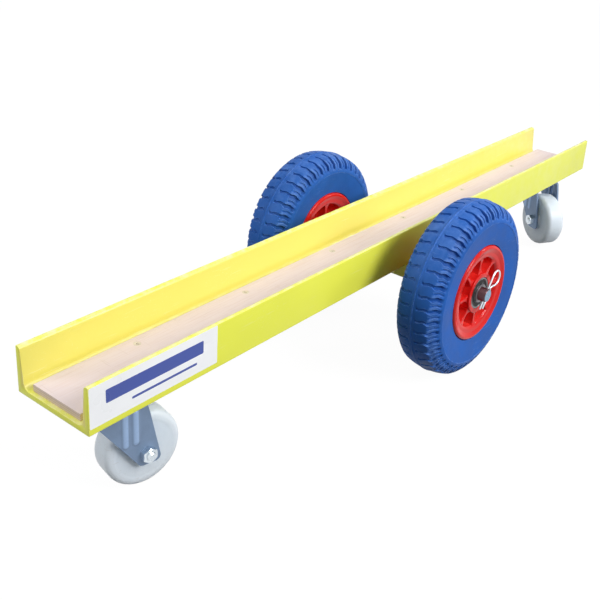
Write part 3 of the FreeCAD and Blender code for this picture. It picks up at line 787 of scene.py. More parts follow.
def paint_finish(settings):
    """Yellow enamel with a slight orange peel, with painted highlight on its edges and on what faces up, and
    painted bounce light on the channel's inside.
    """
    paint = settings.channel.paint
    recipe = Recipe("yellow_enamel", coat_weight=0.12, coat_roughness=0.15, specular_ior_level=0.35)
    tree = recipe.tree
    body = recipe.mix(recipe.cloud(7, 3, (0.6, 1, 1)), scaled(paint, 0.93), paint)
    across = blur_map(tree, math_of(tree, "ABSOLUTE", coordinate(tree, "Object", 1)), 0.055, 0.053)
    above = blur_map(tree, coordinate(tree, "Object", 2), 0.150, 0.156)
    # Painted bounce light: the inner faces of the walls above the board take a warmer, paler yellow
    body = recipe.mix(product(tree, across, above, 0.75), body, settings.channel.paint_inside_bounce_light)
    # Painted highlight: the channel's edges take a near-white yellow where they catch the light
    body = recipe.cover(body, settings.channel.paint_edge_highlight, "Edge wear", radius=0.0018, scale=45, amount=1.0)
    body = recipe.cover(body, linear((250, 248, 196)), "Scuffs", scale=24, amount=0.28)
    # Painted highlight with a little dust: faces that look up take a near-white yellow, as light from above
    # falls on them
    body = recipe.cover(body, linear((254, 248, 206)), "Dust", scale=55, amount=0.85)
    recipe.feed(base_color=body, roughness=recipe.spread(recipe.cloud(60, 4), 0.30, 0.44))
    peel = noise(tree, object_place(tree), 420, 2)
    wave = noise(tree, object_place(tree, (0.5, 1, 1)), 22, 2)
    recipe.bump(math_of(tree, "ADD", product(tree, peel, 0.12), wave), 0.0005, 0.5)
    return recipe.material


def board_finish(settings):
    """Birch plywood: long grain on the faces, veneers in layers at the edges."""
    board = settings.board
    recipe = Recipe("birch_plywood", specular_ior_level=0.35)
    tree = recipe.tree
    flow = noise(tree, object_place(tree, (0.9, 14, 14)), 5, 4, 0.6)
    lines = blur_map(tree, noise(tree, object_place(tree, (3, 130, 130)), 5, 3, 0.6), 0.4, 0.68)
    figure = math_of(tree, "ADD", product(tree, flow, 0.55), product(tree, lines, 0.28))
    face = recipe.mix(blur_map(tree, figure, 0.25, 0.85), board.wood, board.grain)
    pores = blur_map(tree, noise(tree, object_place(tree, (16, 700, 700)), 3, 2), 0.64, 0.74)
    face = recipe.mix(product(tree, pores, 0.22), face, scaled(board.grain, 0.6))
    blotch = recipe.cloud(9, 5, (1, 1.6, 1))
    face = recipe.mix(product(tree, blotch, 0.16), face, scaled(board.wood, 1.12))
    face = recipe.cover(face, scaled(board.grain, 0.82), "Scuffs", scale=18, amount=0.3)

    height = math_of(tree, "SUBTRACT", coordinate(tree, "Object", 2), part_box("deck_board")[0].z)
    wobble = product(tree, noise(tree, object_place(tree), 40, 2), 0.16)
    level = math_of(tree, "ADD", math_of(tree, "DIVIDE", height, board.ply), wobble)
    layers = blur_map(tree, math_of(tree, "PINGPONG", level, 1.0), 0.35, 0.65)
    edge = recipe.mix(layers, scaled(board.wood, 0.95), board.glue)
    end_grain = noise(tree, object_place(tree), 900, 2)
    edge = recipe.mix(product(tree, end_grain, 0.35), edge, scaled(board.glue, 0.6))

    flat = blur_map(tree, math_of(tree, "ABSOLUTE", coordinate(tree, "Normal", 2)), 0.55, 0.8)
    recipe.feed(base_color=recipe.mix(flat, edge, face), roughness=recipe.spread(lines, 0.52, 0.7))
    recipe.bump(math_of(tree, "SUBTRACT", product(tree, lines, 0.5), pores), 0.0002, 0.5)
    return recipe.material


def tyre_finish(settings):
    """Blue foam skin, matt, with painted highlight on its edges and tops and painted shade in its grooves."""
    rubber, rubbed = settings.tyre.rubber, settings.tyre.rubbed
    recipe = Recipe("blue_foam", specular_ior_level=0.1)
    tree = recipe.tree
    cloud = recipe.cloud(26, 6)
    body = recipe.mix(cloud, scaled(rubber, 0.88), scaled(rubber, 1.08))
    # Edges of the tread take the paler blue: partly wear, partly painted highlight where they catch the light
    body = recipe.cover(body, rubbed, "Edge wear", radius=0.0016, scale=70, amount=0.7)
    # Painted highlight: the lug edges at the shoulder, marked in the tread, take the paler blue where they
    # catch the light
    body = recipe.mix(product(tree, mark_of(tree, "rubbed"), 0.4), body, rubbed)
    # Painted shade: the deeper a point lies in a groove, the darker its blue
    body = recipe.mix(product(tree, mark_of(tree, "groove"), 0.2), body, scaled(rubber, 0.5))
    body = recipe.cover(body, linear((132, 160, 208)), "Scuffs", scale=40, amount=0.22)
    # Painted highlight with a little dust: the tread's faces that look up take the paler blue, as if lit from
    # above
    body = recipe.cover(body, rubbed, "Dust", scale=30, amount=0.6)
    recipe.feed(base_color=body, roughness=recipe.spread(cloud, 0.40, 0.56))
    skin = noise(tree, object_place(tree), 700, 3, 0.6)
    ripple = noise(tree, object_place(tree), 60)
    recipe.bump(math_of(tree, "ADD", product(tree, skin, 0.25), ripple), 0.0006, 0.45)
    return recipe.material


def rim_finish(settings):
    """Glossy red moulding, with a brighter red painted into its pockets to lift their shade."""
    rim = settings.rim
    recipe = Recipe("red_moulding", specular_ior_level=0.2)
    cloud = recipe.cloud(30, 3)
    body = recipe.mix(cloud, scaled(rim.plastic, 0.94), rim.plastic)
    # Painted light: the pockets take a brighter red that lifts their shade
    body = recipe.mix(mark_of(recipe.tree, "pocket"), body, rim.plastic_pocket_light)
    body = recipe.cover(body, linear((246, 110, 92)), "Edge wear", radius=0.0008, scale=90, amount=0.06)
    body = recipe.cover(body, linear((240, 120, 108)), "Scuffs", scale=50, amount=0.1)
    recipe.feed(base_color=body, roughness=recipe.spread(cloud, 0.12, 0.18))
    recipe.bump(noise(recipe.tree, object_place(recipe.tree), 55, 2), 0.0005, 0.2)
    return recipe.material


def nylon_finish(settings):
    """White nylon with a faint glow and scuffs from the floor."""
    nylon = settings.caster.nylon
    recipe = Recipe("cast_nylon", specular_ior_level=0.4, subsurface_weight=0.6, subsurface_scale=0.03,
                    subsurface_radius=(1.0, 1.0, 1.0))
    cloud = recipe.cloud(24, 4)
    body = recipe.mix(cloud, scaled(nylon, 0.95), nylon)
    body = recipe.cover(body, linear((186, 186, 188)), "Scuffs", scale=36, amount=0.4)
    body = recipe.cover(body, linear((206, 206, 206)), "Edge wear", radius=0.0016, scale=60, amount=0.2)
    recipe.feed(base_color=body, roughness=recipe.spread(cloud, 0.3, 0.42))
    recipe.bump(noise(recipe.tree, object_place(recipe.tree), 160), 0.0003, 0.35)
    return recipe.material


def metal_finish(name, tint, low, high, scale, bump, stretch=(1, 1, 1), metallic=1.0, pressed=False,
                 ends=None):
    """Plated or bare steel with a cloudy gloss and fine marks.

    Pressed steel gets a painted highlight on the crests of its beads and a painted shade on their flanks. A
    turned bar along Y has ends of another colour.
    """
    recipe = Recipe(name, metallic=metallic)
    tree = recipe.tree
    cloud = recipe.cloud(scale, 5, stretch)
    body = recipe.mix(cloud, scaled(tint, 0.8), tint)
    if pressed:
        bead = mark_of(tree, "bead")
        # Painted shade on the flanks of the beads
        body = recipe.mix(product(tree, math_of(tree, "PINGPONG", bead, 0.5), 0.3), body, scaled(tint, 0.5))
        # Painted highlight on the crests of the beads
        body = recipe.mix(blur_map(tree, bead, 0.1, 0.85), body, scaled(tint, 1.6))
    body = recipe.cover(body, scaled(tint, 1.35), "Edge wear", radius=0.0009, scale=80, amount=0.5)
    body = recipe.cover(body, scaled(tint, 0.6), "Scuffs", scale=60, amount=0.3)
    if ends:
        facing = math_of(tree, "ABSOLUTE", coordinate(tree, "Normal", 1))
        body = recipe.mix(blur_map(tree, facing, 0.6, 0.9), body, linear(ends))
    recipe.feed(base_color=body, roughness=recipe.spread(cloud, low, high))
    recipe.bump(noise(tree, object_place(tree, stretch), 260, 4, 0.6), bump, 0.5)
    return recipe.material


def fork_finish(settings):
    """Pressed steel with blue zinc, a little dull."""
    return metal_finish("blue_zinc", settings.caster.zinc, 0.34, 0.5, 28, 0.0003, metallic=0.45,
                        pressed=True)


def seal_finish(_):
    """Black rubber of the bearings' seals."""
    recipe = Recipe("black_rubber", specular_ior_level=0.4)
    cloud = recipe.cloud(120, 4)
    body = recipe.mix(cloud, linear((12, 12, 13)), linear((24, 24, 26)))
    body = recipe.cover(body, linear((72, 68, 64)), "Dust", scale=200, amount=0.3)
    recipe.feed(base_color=body, roughness=recipe.spread(cloud, 0.5, 0.68))
    recipe.bump(noise(recipe.tree, object_place(recipe.tree), 900), 0.0001, 0.4)
    return recipe.material


def vinyl_finish(name, tint):
    """Printed vinyl film with soft waves where it is stuck down."""
    recipe = Recipe(name, coat_weight=0.25, coat_roughness=0.1)
    cloud = recipe.cloud(18, 3)
    body = recipe.mix(cloud, scaled(tint, 0.95), tint)
    body = recipe.cover(body, scaled(tint, 0.8), "Scuffs", scale=30, amount=0.25)
    recipe.feed(base_color=body, roughness=recipe.spread(cloud, 0.26, 0.38))
    recipe.bump(noise(recipe.tree, object_place(recipe.tree), 45, 2), 0.0003, 0.3)
    return recipe.material


FINISHES = {
    "yellow_enamel": paint_finish, "birch_plywood": board_finish, "blue_foam": tyre_finish,
    "red_moulding": rim_finish, "cast_nylon": nylon_finish, "blue_zinc": fork_finish,
    "black_rubber": seal_finish,
}
# Plating, washers that rub against the wheels, wood screws, bearings and the drawn axle: colour as it shows
# on a screen, lowest and highest roughness, size of the clouds, depth of the bump, and what is special
METALS = {
    "bright_zinc": ((230, 240, 248), 0.22, 0.4, 40, 0.0002, {}),
    "dull_zinc": ((150, 146, 152), 0.3, 0.45, 40, 0.0002, {}),
    "screw_zinc": ((232, 222, 214), 0.4, 0.55, 200, 0.0001, {"metallic": 0.4}),
    "ground_steel": ((128, 132, 134), 0.2, 0.32, 60, 0.00005, {}),
    # Drawn axle: the dark reddish brown of its side is a painted reflection of the red rims and painted shade
    # on grey steel; its ends are paler as bright cut steel, and their blue is a painted reflection
    "turned_steel": ((98, 72, 76), 0.2, 0.34, 14, 0.0001,
                     {"stretch": (0.3, 9, 0.3), "ends": (136, 172, 200)}),
}
# The blank sticker's film and the print of its plain bars
VINYLS = {"white_film": (250, 252, 255), "blue_print": (50, 74, 160)}


def finish_named(name):
    """Finish that is made once and then shared."""
    if name in bpy.data.materials:
        return bpy.data.materials[name]
    if name in METALS:
        screen, *values, special = METALS[name]
        return metal_finish(name, linear(screen), *values, **special)
    if name in VINYLS:
        return vinyl_finish(name, linear(VINYLS[name]))
    return FINISHES[name](bpy.context.scene.slab_dolly)


# Channel, board and screws

class SLAB_DOLLY_OT_channel(bpy.types.Operator):
    """Rolled channel with rounded toes and roots and its sawn ends broken"""
    bl_idname = "slab_dolly.channel"
    bl_label = "Channel"

    def execute(self, context):
        sizes = context.scene.slab_dolly.channel
        low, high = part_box("channel")
        half = high.y
        height = high.z - low.z
        root = half - sizes.flange - sizes.slope * (height / 2 - sizes.web)
        toe = half - sizes.flange + sizes.slope * height / 2
        section = outline([
            (-half, low.z, sizes.corner_round), (half, low.z, sizes.corner_round),
            (half, high.z, sizes.corner_round), (toe, high.z, sizes.toe_round),
            (root, low.z + sizes.web, sizes.root_round), (-root, low.z + sizes.web, sizes.root_round),
            (-toe, high.z, sizes.toe_round), (-half, high.z, sizes.corner_round),
        ], 8)
        piece = new_piece("painted_channel", [drawn(section, low.x, high.x)], [finish_named("yellow_enamel")])
        break_edges(piece, sizes.end_bevel)
        hand_over(piece, "chassis", ["channel"])
        return {"FINISHED"}


def set_in_rows(piece, sizes, seed):
    """Sets a screw, or the seat for one, at each place of the board's two rows."""
    grow(piece, tree_named("Rows of parts", rows_tree), {
        "Columns": sizes.columns, "Rows": 2, "Length": sizes.spacing * (sizes.columns - 1),
        "Width": sizes.row_spacing, "Place": (0, 0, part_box("deck_board")[1].z), "Seed": seed,
        "Material": piece.data.materials[0],
    })


class SLAB_DOLLY_OT_board(bpy.types.Operator):
    """Plywood board with rounded long edges and a sunk seat for every screw"""
    bl_idname = "slab_dolly.board"
    bl_label = "Deck board"

    def execute(self, context):
        sizes = context.scene.slab_dolly.board
        low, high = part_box("deck_board")
        section = rectangle(low.yz, high.yz, sizes.edge_round, 4)
        wood = finish_named("birch_plywood")
        piece = new_piece("ply_board", [drawn(section, low.x, high.x)], [wood])
        break_edges(piece, 0.5 * mm)
        gap, above = 0.35 * mm, 0.1 * mm
        seat = [(0, -sizes.head_height), (sizes.shank_radius, -sizes.head_height),
                (sizes.head_radius + gap, above), (0, above)]
        cutters = new_piece("screw_seats", [turned(seat, 32, closed=False, axis="Z")], [wood])
        set_in_rows(cutters, sizes, 3)
        cut_away(piece, cutters)
        hand_over(piece, "chassis", ["deck_board"])
        return {"FINISHED"}


class SLAB_DOLLY_OT_board_screws(bpy.types.Operator):
    """Countersunk wood screws with a cross recess, in two rows"""
    bl_idname = "slab_dolly.board_screws"
    bl_label = "Board screws"

    def execute(self, context):
        sizes = context.scene.slab_dolly.board
        steps = 48
        arm, reach, recess = 0.75 * mm, 2.7 * mm, 1.5 * mm
        top = -0.25 * mm
        head_rings = 12
        rings = []
        for number in range(head_rings + 1):
            radius = sizes.head_radius * number / head_rings * 0.98
            ring = []
            for step in range(steps):
                angle = math.tau * step / steps
                across, along = radius * math.cos(angle), radius * math.sin(angle)
                narrow, wide = sorted((abs(across), abs(along)))
                cut = (1 - smooth_step(narrow, arm * 0.7, arm)) * (1 - smooth_step(wide, reach * 0.8, reach))
                ring.append(Vector((across, along, top - recess * cut)))
            rings.append(ring)
        shank_end = -(sizes.screw_length - sizes.tip_length)
        profile = [(sizes.head_radius, top - 0.2 * mm), (sizes.shank_radius, -sizes.head_height)]
        profile += thread(sizes.shank_radius, -sizes.head_height - sizes.thread_pitch, shank_end,
                          sizes.thread_pitch, 0.28)
        for radius, along in profile + [(0.3 * mm, -sizes.screw_length + 0.4 * mm), (0, -sizes.screw_length)]:
            angles = [math.tau * step / steps for step in range(steps)]
            rings.append([Vector((radius * math.cos(angle), radius * math.sin(angle), along))
                          for angle in angles])
        piece = new_piece("board_screws", [looped(rings, round_run=False)], [finish_named("screw_zinc")])
        set_in_rows(piece, sizes, 5)
        nodes = [f"board_screw_{number:02d}" for number in range(1, 2 * sizes.columns + 1)]
        hand_over(piece, "chassis", nodes)
        return {"FINISHED"}


# Axle and what sits on it

def weld_bead(side, edge, top, half, leg, ripple, chance):
    """Rippled fillet weld along Y in the corner between the tube's side and the channel's underside."""
    rings = []
    steps = 150
    bite = 0.4 * mm
    for step in range(steps + 1):
        along = -half + 2 * half * step / steps
        phase = (along / ripple) % 1
        size = leg * (0.86 + 0.14 * math.sqrt(1 - phase)) * (0.96 + 0.04 * chance.random())
        size *= 0.35 + 0.65 * smooth_step(half - abs(along), 0, leg)
        ring = [Vector((side * (edge - bite), along, top + bite))]
        for part in range(9):
            angle = part / 8 * math.pi / 2
            belly = 1 - 0.22 * math.sin(2 * angle)
            ring.append(Vector((side * (edge + size * belly * math.sin(angle)), along,
                                top - size * belly * math.cos(angle))))
        rings.append(ring)
    points, faces = looped(rings, round_run=False)
    wide = len(rings[0])
    return points, faces + [tuple(range(wide)), tuple(range(steps * wide, (steps + 1) * wide))]


class SLAB_DOLLY_OT_housing(bpy.types.Operator):
    """Square tube under the channel, held by a rippled weld on each side"""
    bl_idname = "slab_dolly.housing"
    bl_label = "Axle housing"

    def execute(self, context):
        sizes = context.scene.slab_dolly.axle
        low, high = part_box("axle_housing")
        middle = (low + high) / 2
        side = (high.z - low.z) / 2
        end = high.y
        wall = sizes.housing_wall
        soft = 0.5 * mm
        rings = []
        for inset, along in ((0, -end + soft), (0, end - soft), (soft / 3, end - soft / 3), (soft, end),
                             (wall - soft, end), (wall, end - soft), (wall, -end + soft),
                             (wall - soft, -end), (soft, -end), (soft / 3, -end + soft / 3)):
            half = side - inset
            corner = max(sizes.housing_round - inset, 0.8 * mm)
            square = rectangle((-half, -half), (half, half), corner)
            rings.append([Vector((x + middle.x, along, z + middle.z)) for x, z in square])
        chance = random.Random(11)
        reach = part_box("channel")[1].y
        welds = [weld_bead(sign, side, high.z, reach, sizes.weld_leg, sizes.weld_ripple, chance)
                 for sign in (-1, 1)]
        piece = new_piece("axle_tube", [looped(rings), *welds], [finish_named("yellow_enamel")], 50)
        hand_over(piece, "chassis", ["axle_housing"])
        return {"FINISHED"}


class SLAB_DOLLY_OT_axle(bpy.types.Operator):
    """Turned axle with chamfered ends and a centre dimple at each"""
    bl_idname = "slab_dolly.axle"
    bl_label = "Axle"

    def execute(self, context):
        sizes = context.scene.slab_dolly.axle
        low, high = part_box("axle")
        radius = (high.z - low.z) / 2
        end = high.y
        side = [(0, end - sizes.dimple), (sizes.dimple, end), (radius - sizes.chamfer, end),
                (radius - 0.2 * sizes.chamfer, end - sizes.chamfer), (radius, end - 1.4 * sizes.chamfer)]
        profile = [(across, -along) for across, along in side] + side[::-1]
        bar = moved(turned(profile, 64, closed=False), Vector((0, 0, middle_of("axle").z)))
        piece = new_piece("axle_bar", [bar], [finish_named("turned_steel")], 30)
        hand_over(piece, "chassis", ["axle"])
        return {"FINISHED"}


class SLAB_DOLLY_OT_washers(bpy.types.Operator):
    """Washers between housing, wheels and clips"""
    bl_idname = "slab_dolly.washers"
    bl_label = "Washers"

    def execute(self, context):
        sizes = context.scene.slab_dolly.axle
        parts = []
        nodes = []
        for wheel, _ in WHEELS:
            for place in ("inner", "outer"):
                node = f"{wheel}_{place}_washer"
                low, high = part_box(node)
                half = (high.y - low.y) / 2
                soft = 0.35 * mm
                ring = ring_outline(sizes.washer_bore, high.x, half, soft / 2, soft, 3)
                parts.append(moved(turned(ring, 64), middle_of(node)))
                nodes.append(node)
        piece = new_piece("thrust_washers", parts, [finish_named("dull_zinc")], 50)
        hand_over(piece, "chassis", nodes)
        return {"FINISHED"}


def wire_path(start, moves, step=math.radians(9)):
    """Flat path made of runs (length,) and turns (radius, angle to the left)."""
    heading = 0.0
    points = [Vector(start)]
    for move in moves:
        if len(move) == 1:
            points.append(points[-1] + Vector((math.cos(heading), math.sin(heading))) * move[0])
            continue
        radius, sweep = move
        radius = math.copysign(radius, sweep)
        centre = points[-1] + Vector((-math.sin(heading), math.cos(heading))) * radius
        parts = max(2, round(abs(sweep) / step))
        for part in range(1, parts + 1):
            angle = heading + sweep * part / parts
            points.append(centre + Vector((math.sin(angle), -math.cos(angle))) * radius)
        heading += sweep
    return points


def clip_path(sizes, axle_radius):
    """Path of a hairpin clip: straight leg through the axle, eye, and a leg arched over the axle."""
    bend = sizes.bend_radius
    over = axle_radius + sizes.wire_radius + sizes.wire_gap
    back = Vector((math.cos(sizes.eye_turn), math.sin(sizes.eye_turn)))
    aside = Vector((back.y, -back.x))
    middle = Vector((sizes.neck, sizes.eye_radius)) + aside * (sizes.eye_radius + bend)
    reach = middle.dot(back)
    run = -reach - math.sqrt(reach ** 2 - middle.length_squared + (over + bend) ** 2)
    middle += back * run
    arch_start = math.atan2(middle.y, middle.x)
    return wire_path((-sizes.tail, 0), [
        (sizes.tail + sizes.neck,), (sizes.eye_radius, sizes.eye_turn), (run,),
        (bend, arch_start + math.pi / 2 - sizes.eye_turn), (over, sizes.arch_end - arch_start),
        (bend, -sizes.flare_turn), (sizes.flare_tail,),
    ])


def rounded_ends(points, radius):
    """Path with the thickness of its wire at each point, thinned to a dome at both ends."""
    dome = ((0.0, 0.08), (0.06, 0.34), (0.25, 0.66), (0.55, 0.9))
    first = (points[1] - points[0]).normalized()
    last = (points[-2] - points[-1]).normalized()
    path = [(points[0] + first * (radius * run), thickness) for run, thickness in dome]
    path.append((points[0] + first * radius, 1.0))
    path.extend((point, 1.0) for point in points[1:-1])
    path.append((points[-1] + last * radius, 1.0))
    path.extend((points[-1] + last * (radius * run), thickness) for run, thickness in reversed(dome))
    return path


class SLAB_DOLLY_OT_clips(bpy.types.Operator):
    """Hairpin clips of bent wire through the axle's ends"""
    bl_idname = "slab_dolly.clips"
    bl_label = "Hairpin clips"

    def execute(self, context):
        sizes = context.scene.slab_dolly.axle
        low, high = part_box("axle")
        angle = sizes.clip_angle
        along = Vector((math.cos(angle), 0, math.sin(angle)))
        across = Vector((math.sin(angle), 0, -math.cos(angle)))
        path = rounded_ends(clip_path(sizes, (high.z - low.z) / 2), sizes.wire_radius)
        for wheel, side in WHEELS:
            middle = Vector((0, side * (high.y - sizes.end_inset), middle_of("axle").z))
            points = [middle + along * point[0] + across * point[1] for point, _ in path]
            mesh = bpy.data.meshes.new("hairpin_path")
            mesh.from_pydata(points, [(index, index + 1) for index in range(len(points) - 1)], [])
            mark(mesh, "thickness", [thickness for _, thickness in path])
            piece = linked(f"hairpin_{wheel}", mesh)
            grow(piece, tree_named("Wire on a path", wire_tree), {
                "Radius": sizes.wire_radius, "Sides": 20, "Material": finish_named("bright_zinc"),
            }, 60)
            hand_over(piece, "chassis", [f"{wheel}_clip"])
        return {"FINISHED"}


# Big wheels

def bowed(start, end, curve, steps):
    """Points after start of an arc to end with the given radius, bowed outward."""
    start, end = Vector(start), Vector(end)
    run = end - start
    out = Vector((run.y, -run.x)).normalized()
    half = math.asin(run.length / 2 / curve)
    centre = start + run / 2 - out * (curve * math.cos(half))
    points = []
    for step in range(1, steps + 1):
        angle = half * (2 * step / steps - 1)
        points.append(centre + out * (curve * math.cos(angle)) + run.normalized() * (curve * math.sin(angle)))
    return points


def tyre_side(sizes, radius, half, bead_side, bead_top):
    """Half of the tyre's section, from the mould line over the shoulder to the seat."""
    line = sizes.line_width / 2
    floor = radius - sizes.line_height
    edge = radius - sizes.tread_drop
    tread = sizes.tread_width / 2
    step = half - sizes.shoulder_step
    soft = 0.3 * mm
    points = [Vector((radius, 0)), Vector((radius, line - soft)), Vector((radius - soft, line)),
              Vector((floor + soft / 2, line + 0.1 * mm)), Vector((floor, line + soft))]
    points += bowed(points[-1], (edge, tread), sizes.tread_curve, 20)
    points += bowed(points[-1], (sizes.shoulder_radius, half), sizes.shoulder_curve, 18)
    points += [Vector((sizes.shoulder_radius - soft, half - soft)),
               Vector((sizes.shoulder_radius - soft, step))]
    points += bowed(points[-1], (sizes.bead_radius, bead_top), sizes.side_curve, 8)
    points += [Vector((sizes.bead_radius, bead_side)), Vector((sizes.seat_radius + 2 * mm, bead_side)),
               Vector((sizes.seat_radius, bead_side - 2 * mm)), Vector((sizes.seat_radius, 0))]
    return points


# Across one pitch, for each column of points: middle of its groove, half of the groove's share that it
# stands away, wall that it is farther away by, and how much of a wavy groove and of a notch it is
TREAD_COLUMNS = (
    (0.00, 0, 0, 0, 0), (0.27, -1, -1, 0, 0), (0.27, -1, 0, 1, 0), (0.27, 0, 0, 1, 0), (0.27, 1, 0, 1, 0),
    (0.27, 1, 1, 0, 0), (0.77, -1, -1, 0, 0), (0.77, -1, 0, 0, 1), (0.77, 1, 0, 0, 1), (0.77, 1, 1, 0, 0),
    (1.00, 0, 0, 0, 0),
)


def tread_sector(sizes, side):
    """One pitch of the tyre: points, faces, how deep in a groove each point is and how much painted highlight
    its lug edge gets.
    """
    section = both_sides(side)
    reach = [0.0]
    for before, after in zip(side, side[1:]):
        reach.append(reach[-1] + (after - before).length)
    reach += reach[-2:0:-1]
    pitch = math.tau / sizes.pitches
    pitch_length = side[0][0] * pitch
    wall = 0.045
    groove_rise, notch_rise = 1.6 * mm, 2 * mm
    groove_run, notch_run = 5 * mm, 7 * mm
    lug = 14 * mm
    rings = []
    depths = []
    lug_highlights = []
    for place, half, beyond, groove, notch in TREAD_COLUMNS:
        ring = []
        for index, point in enumerate(section):
            out = reach[index]
            wide = smooth_step(out, sizes.widen_start, sizes.groove_end - lug)
            open_main = smooth_step(out, sizes.groove_start, sizes.groove_start + groove_rise)
            open_main *= 1 - smooth_step(out, sizes.groove_end - groove_run, sizes.groove_end)
            open_notch = smooth_step(out, sizes.notch_start, sizes.notch_start + notch_rise)
            open_notch *= 1 - smooth_step(out, sizes.groove_end - notch_run, sizes.groove_end)
            full = sizes.groove_depth + (sizes.shoulder_depth - sizes.groove_depth) * wide
            depth = full * groove * open_main + sizes.notch_depth * notch * open_notch
            own = sizes.groove_share + (sizes.shoulder_share - sizes.groove_share) * wide
            if place > 0.5:
                own = sizes.notch_share
            swing = math.sin(math.tau * (out - sizes.groove_start) / sizes.wave_length) * sizes.wave_height
            swing *= 1 - smooth_step(out, sizes.groove_end, sizes.groove_end + 6 * mm)
            run = section[(index + 1) % len(section)] - section[index - 1]
            normal = Vector((run.y, -run.x)).normalized()
            sign = math.copysign(1, point.y)
            across = place + half * own / 2 + beyond * wall + sign * swing / pitch_length
            spot = point - normal * depth
            angle = pitch * across
            ring.append(Vector((spot.x * math.cos(angle), spot.y, -spot.x * math.sin(angle))))
            depths.append(depth / sizes.shoulder_depth)
            # Painted highlight: lug edges near the notches are marked to be paler, where they catch the light
            lug_edge = abs(beyond) * smooth_step(out, sizes.notch_start - 4 * mm, sizes.notch_start)
            lug_edge *= 1 - smooth_step(out, sizes.groove_end - lug, sizes.groove_end - 4 * mm)
            lug_highlights.append(lug_edge)
        rings.append(ring)
    return looped(rings, round_run=False), depths, lug_highlights


class SLAB_DOLLY_OT_tyres(bpy.types.Operator):
    """Foam tyres with wavy grooves, shoulder notches and a mould line"""
    bl_idname = "slab_dolly.tyres"
    bl_label = "Tyres"

    def execute(self, context):
        dolly = context.scene.slab_dolly
        sizes = dolly.tyre
        low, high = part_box("front_tyre")
        half = (high.y - low.y) / 2
        rim_low, rim_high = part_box("front_rim")
        bead_side = (rim_high.y - rim_low.y) / 2 - dolly.rim.lip_thickness
        side = tyre_side(sizes, (high.z - low.z) / 2, half, bead_side, bead_side + 2.9 * mm)
        (points, faces), depths, lug_highlights = tread_sector(sizes, side)
        finish = finish_named("blue_foam")
        for wheel, _ in WHEELS:
            mesh = bpy.data.meshes.new("tread_pitch")
            mesh.from_pydata(points, [], faces)
            mark(mesh, "groove", depths)
            mark(mesh, "rubbed", lug_highlights)
            piece = linked(f"foam_tyre_{wheel}", mesh)
            grow(piece, tree_named("Ring of parts", ring_tree), {
                "Count": sizes.pitches, "Place": middle_of(f"{wheel}_tyre"), "Material": finish,
            }, 50)
            hand_over(piece, f"{wheel}_wheel", [f"{wheel}_tyre"])
        return {"FINISHED"}


def rim_rib(sizes):
    """One rib through both sides of the rim, flared where it meets hub and barrel."""
    rings = []
    steps = 20
    sunk, draft, end_rise = 2 * mm, 0.7 * mm, 1.6 * mm
    start = sizes.hub_radius - sunk
    end = sizes.barrel_radius + sunk
    for step in range(steps + 1):
        out = start + (end - start) * step / steps
        flare = math.exp(-max(out - sizes.hub_radius, 0) / sizes.flare_length)
        flare += math.exp(-max(sizes.barrel_radius - out, 0) / sizes.flare_length)
        top = sizes.rib_thickness / 2 + sizes.rib_flare * flare
        foot = top + draft
        height = sizes.rib_height + end_rise * (2 * abs(step / steps - 0.5)) ** 3
        soft = min(1.2 * mm, top * 0.7)
        ring = [(foot, 0)]
        for part in range(5):
            angle = part / 4 * math.pi / 2
            ring.append((top - soft + soft * math.cos(angle), height - soft + soft * math.sin(angle)))
        ring += [(-across, along) for across, along in reversed(ring)]
        ring += [(-across, -along) for across, along in ring[1:-1]]
        rings.append([Vector((out, along, across)) for across, along in ring])
    return looped(rings, round_run=False)


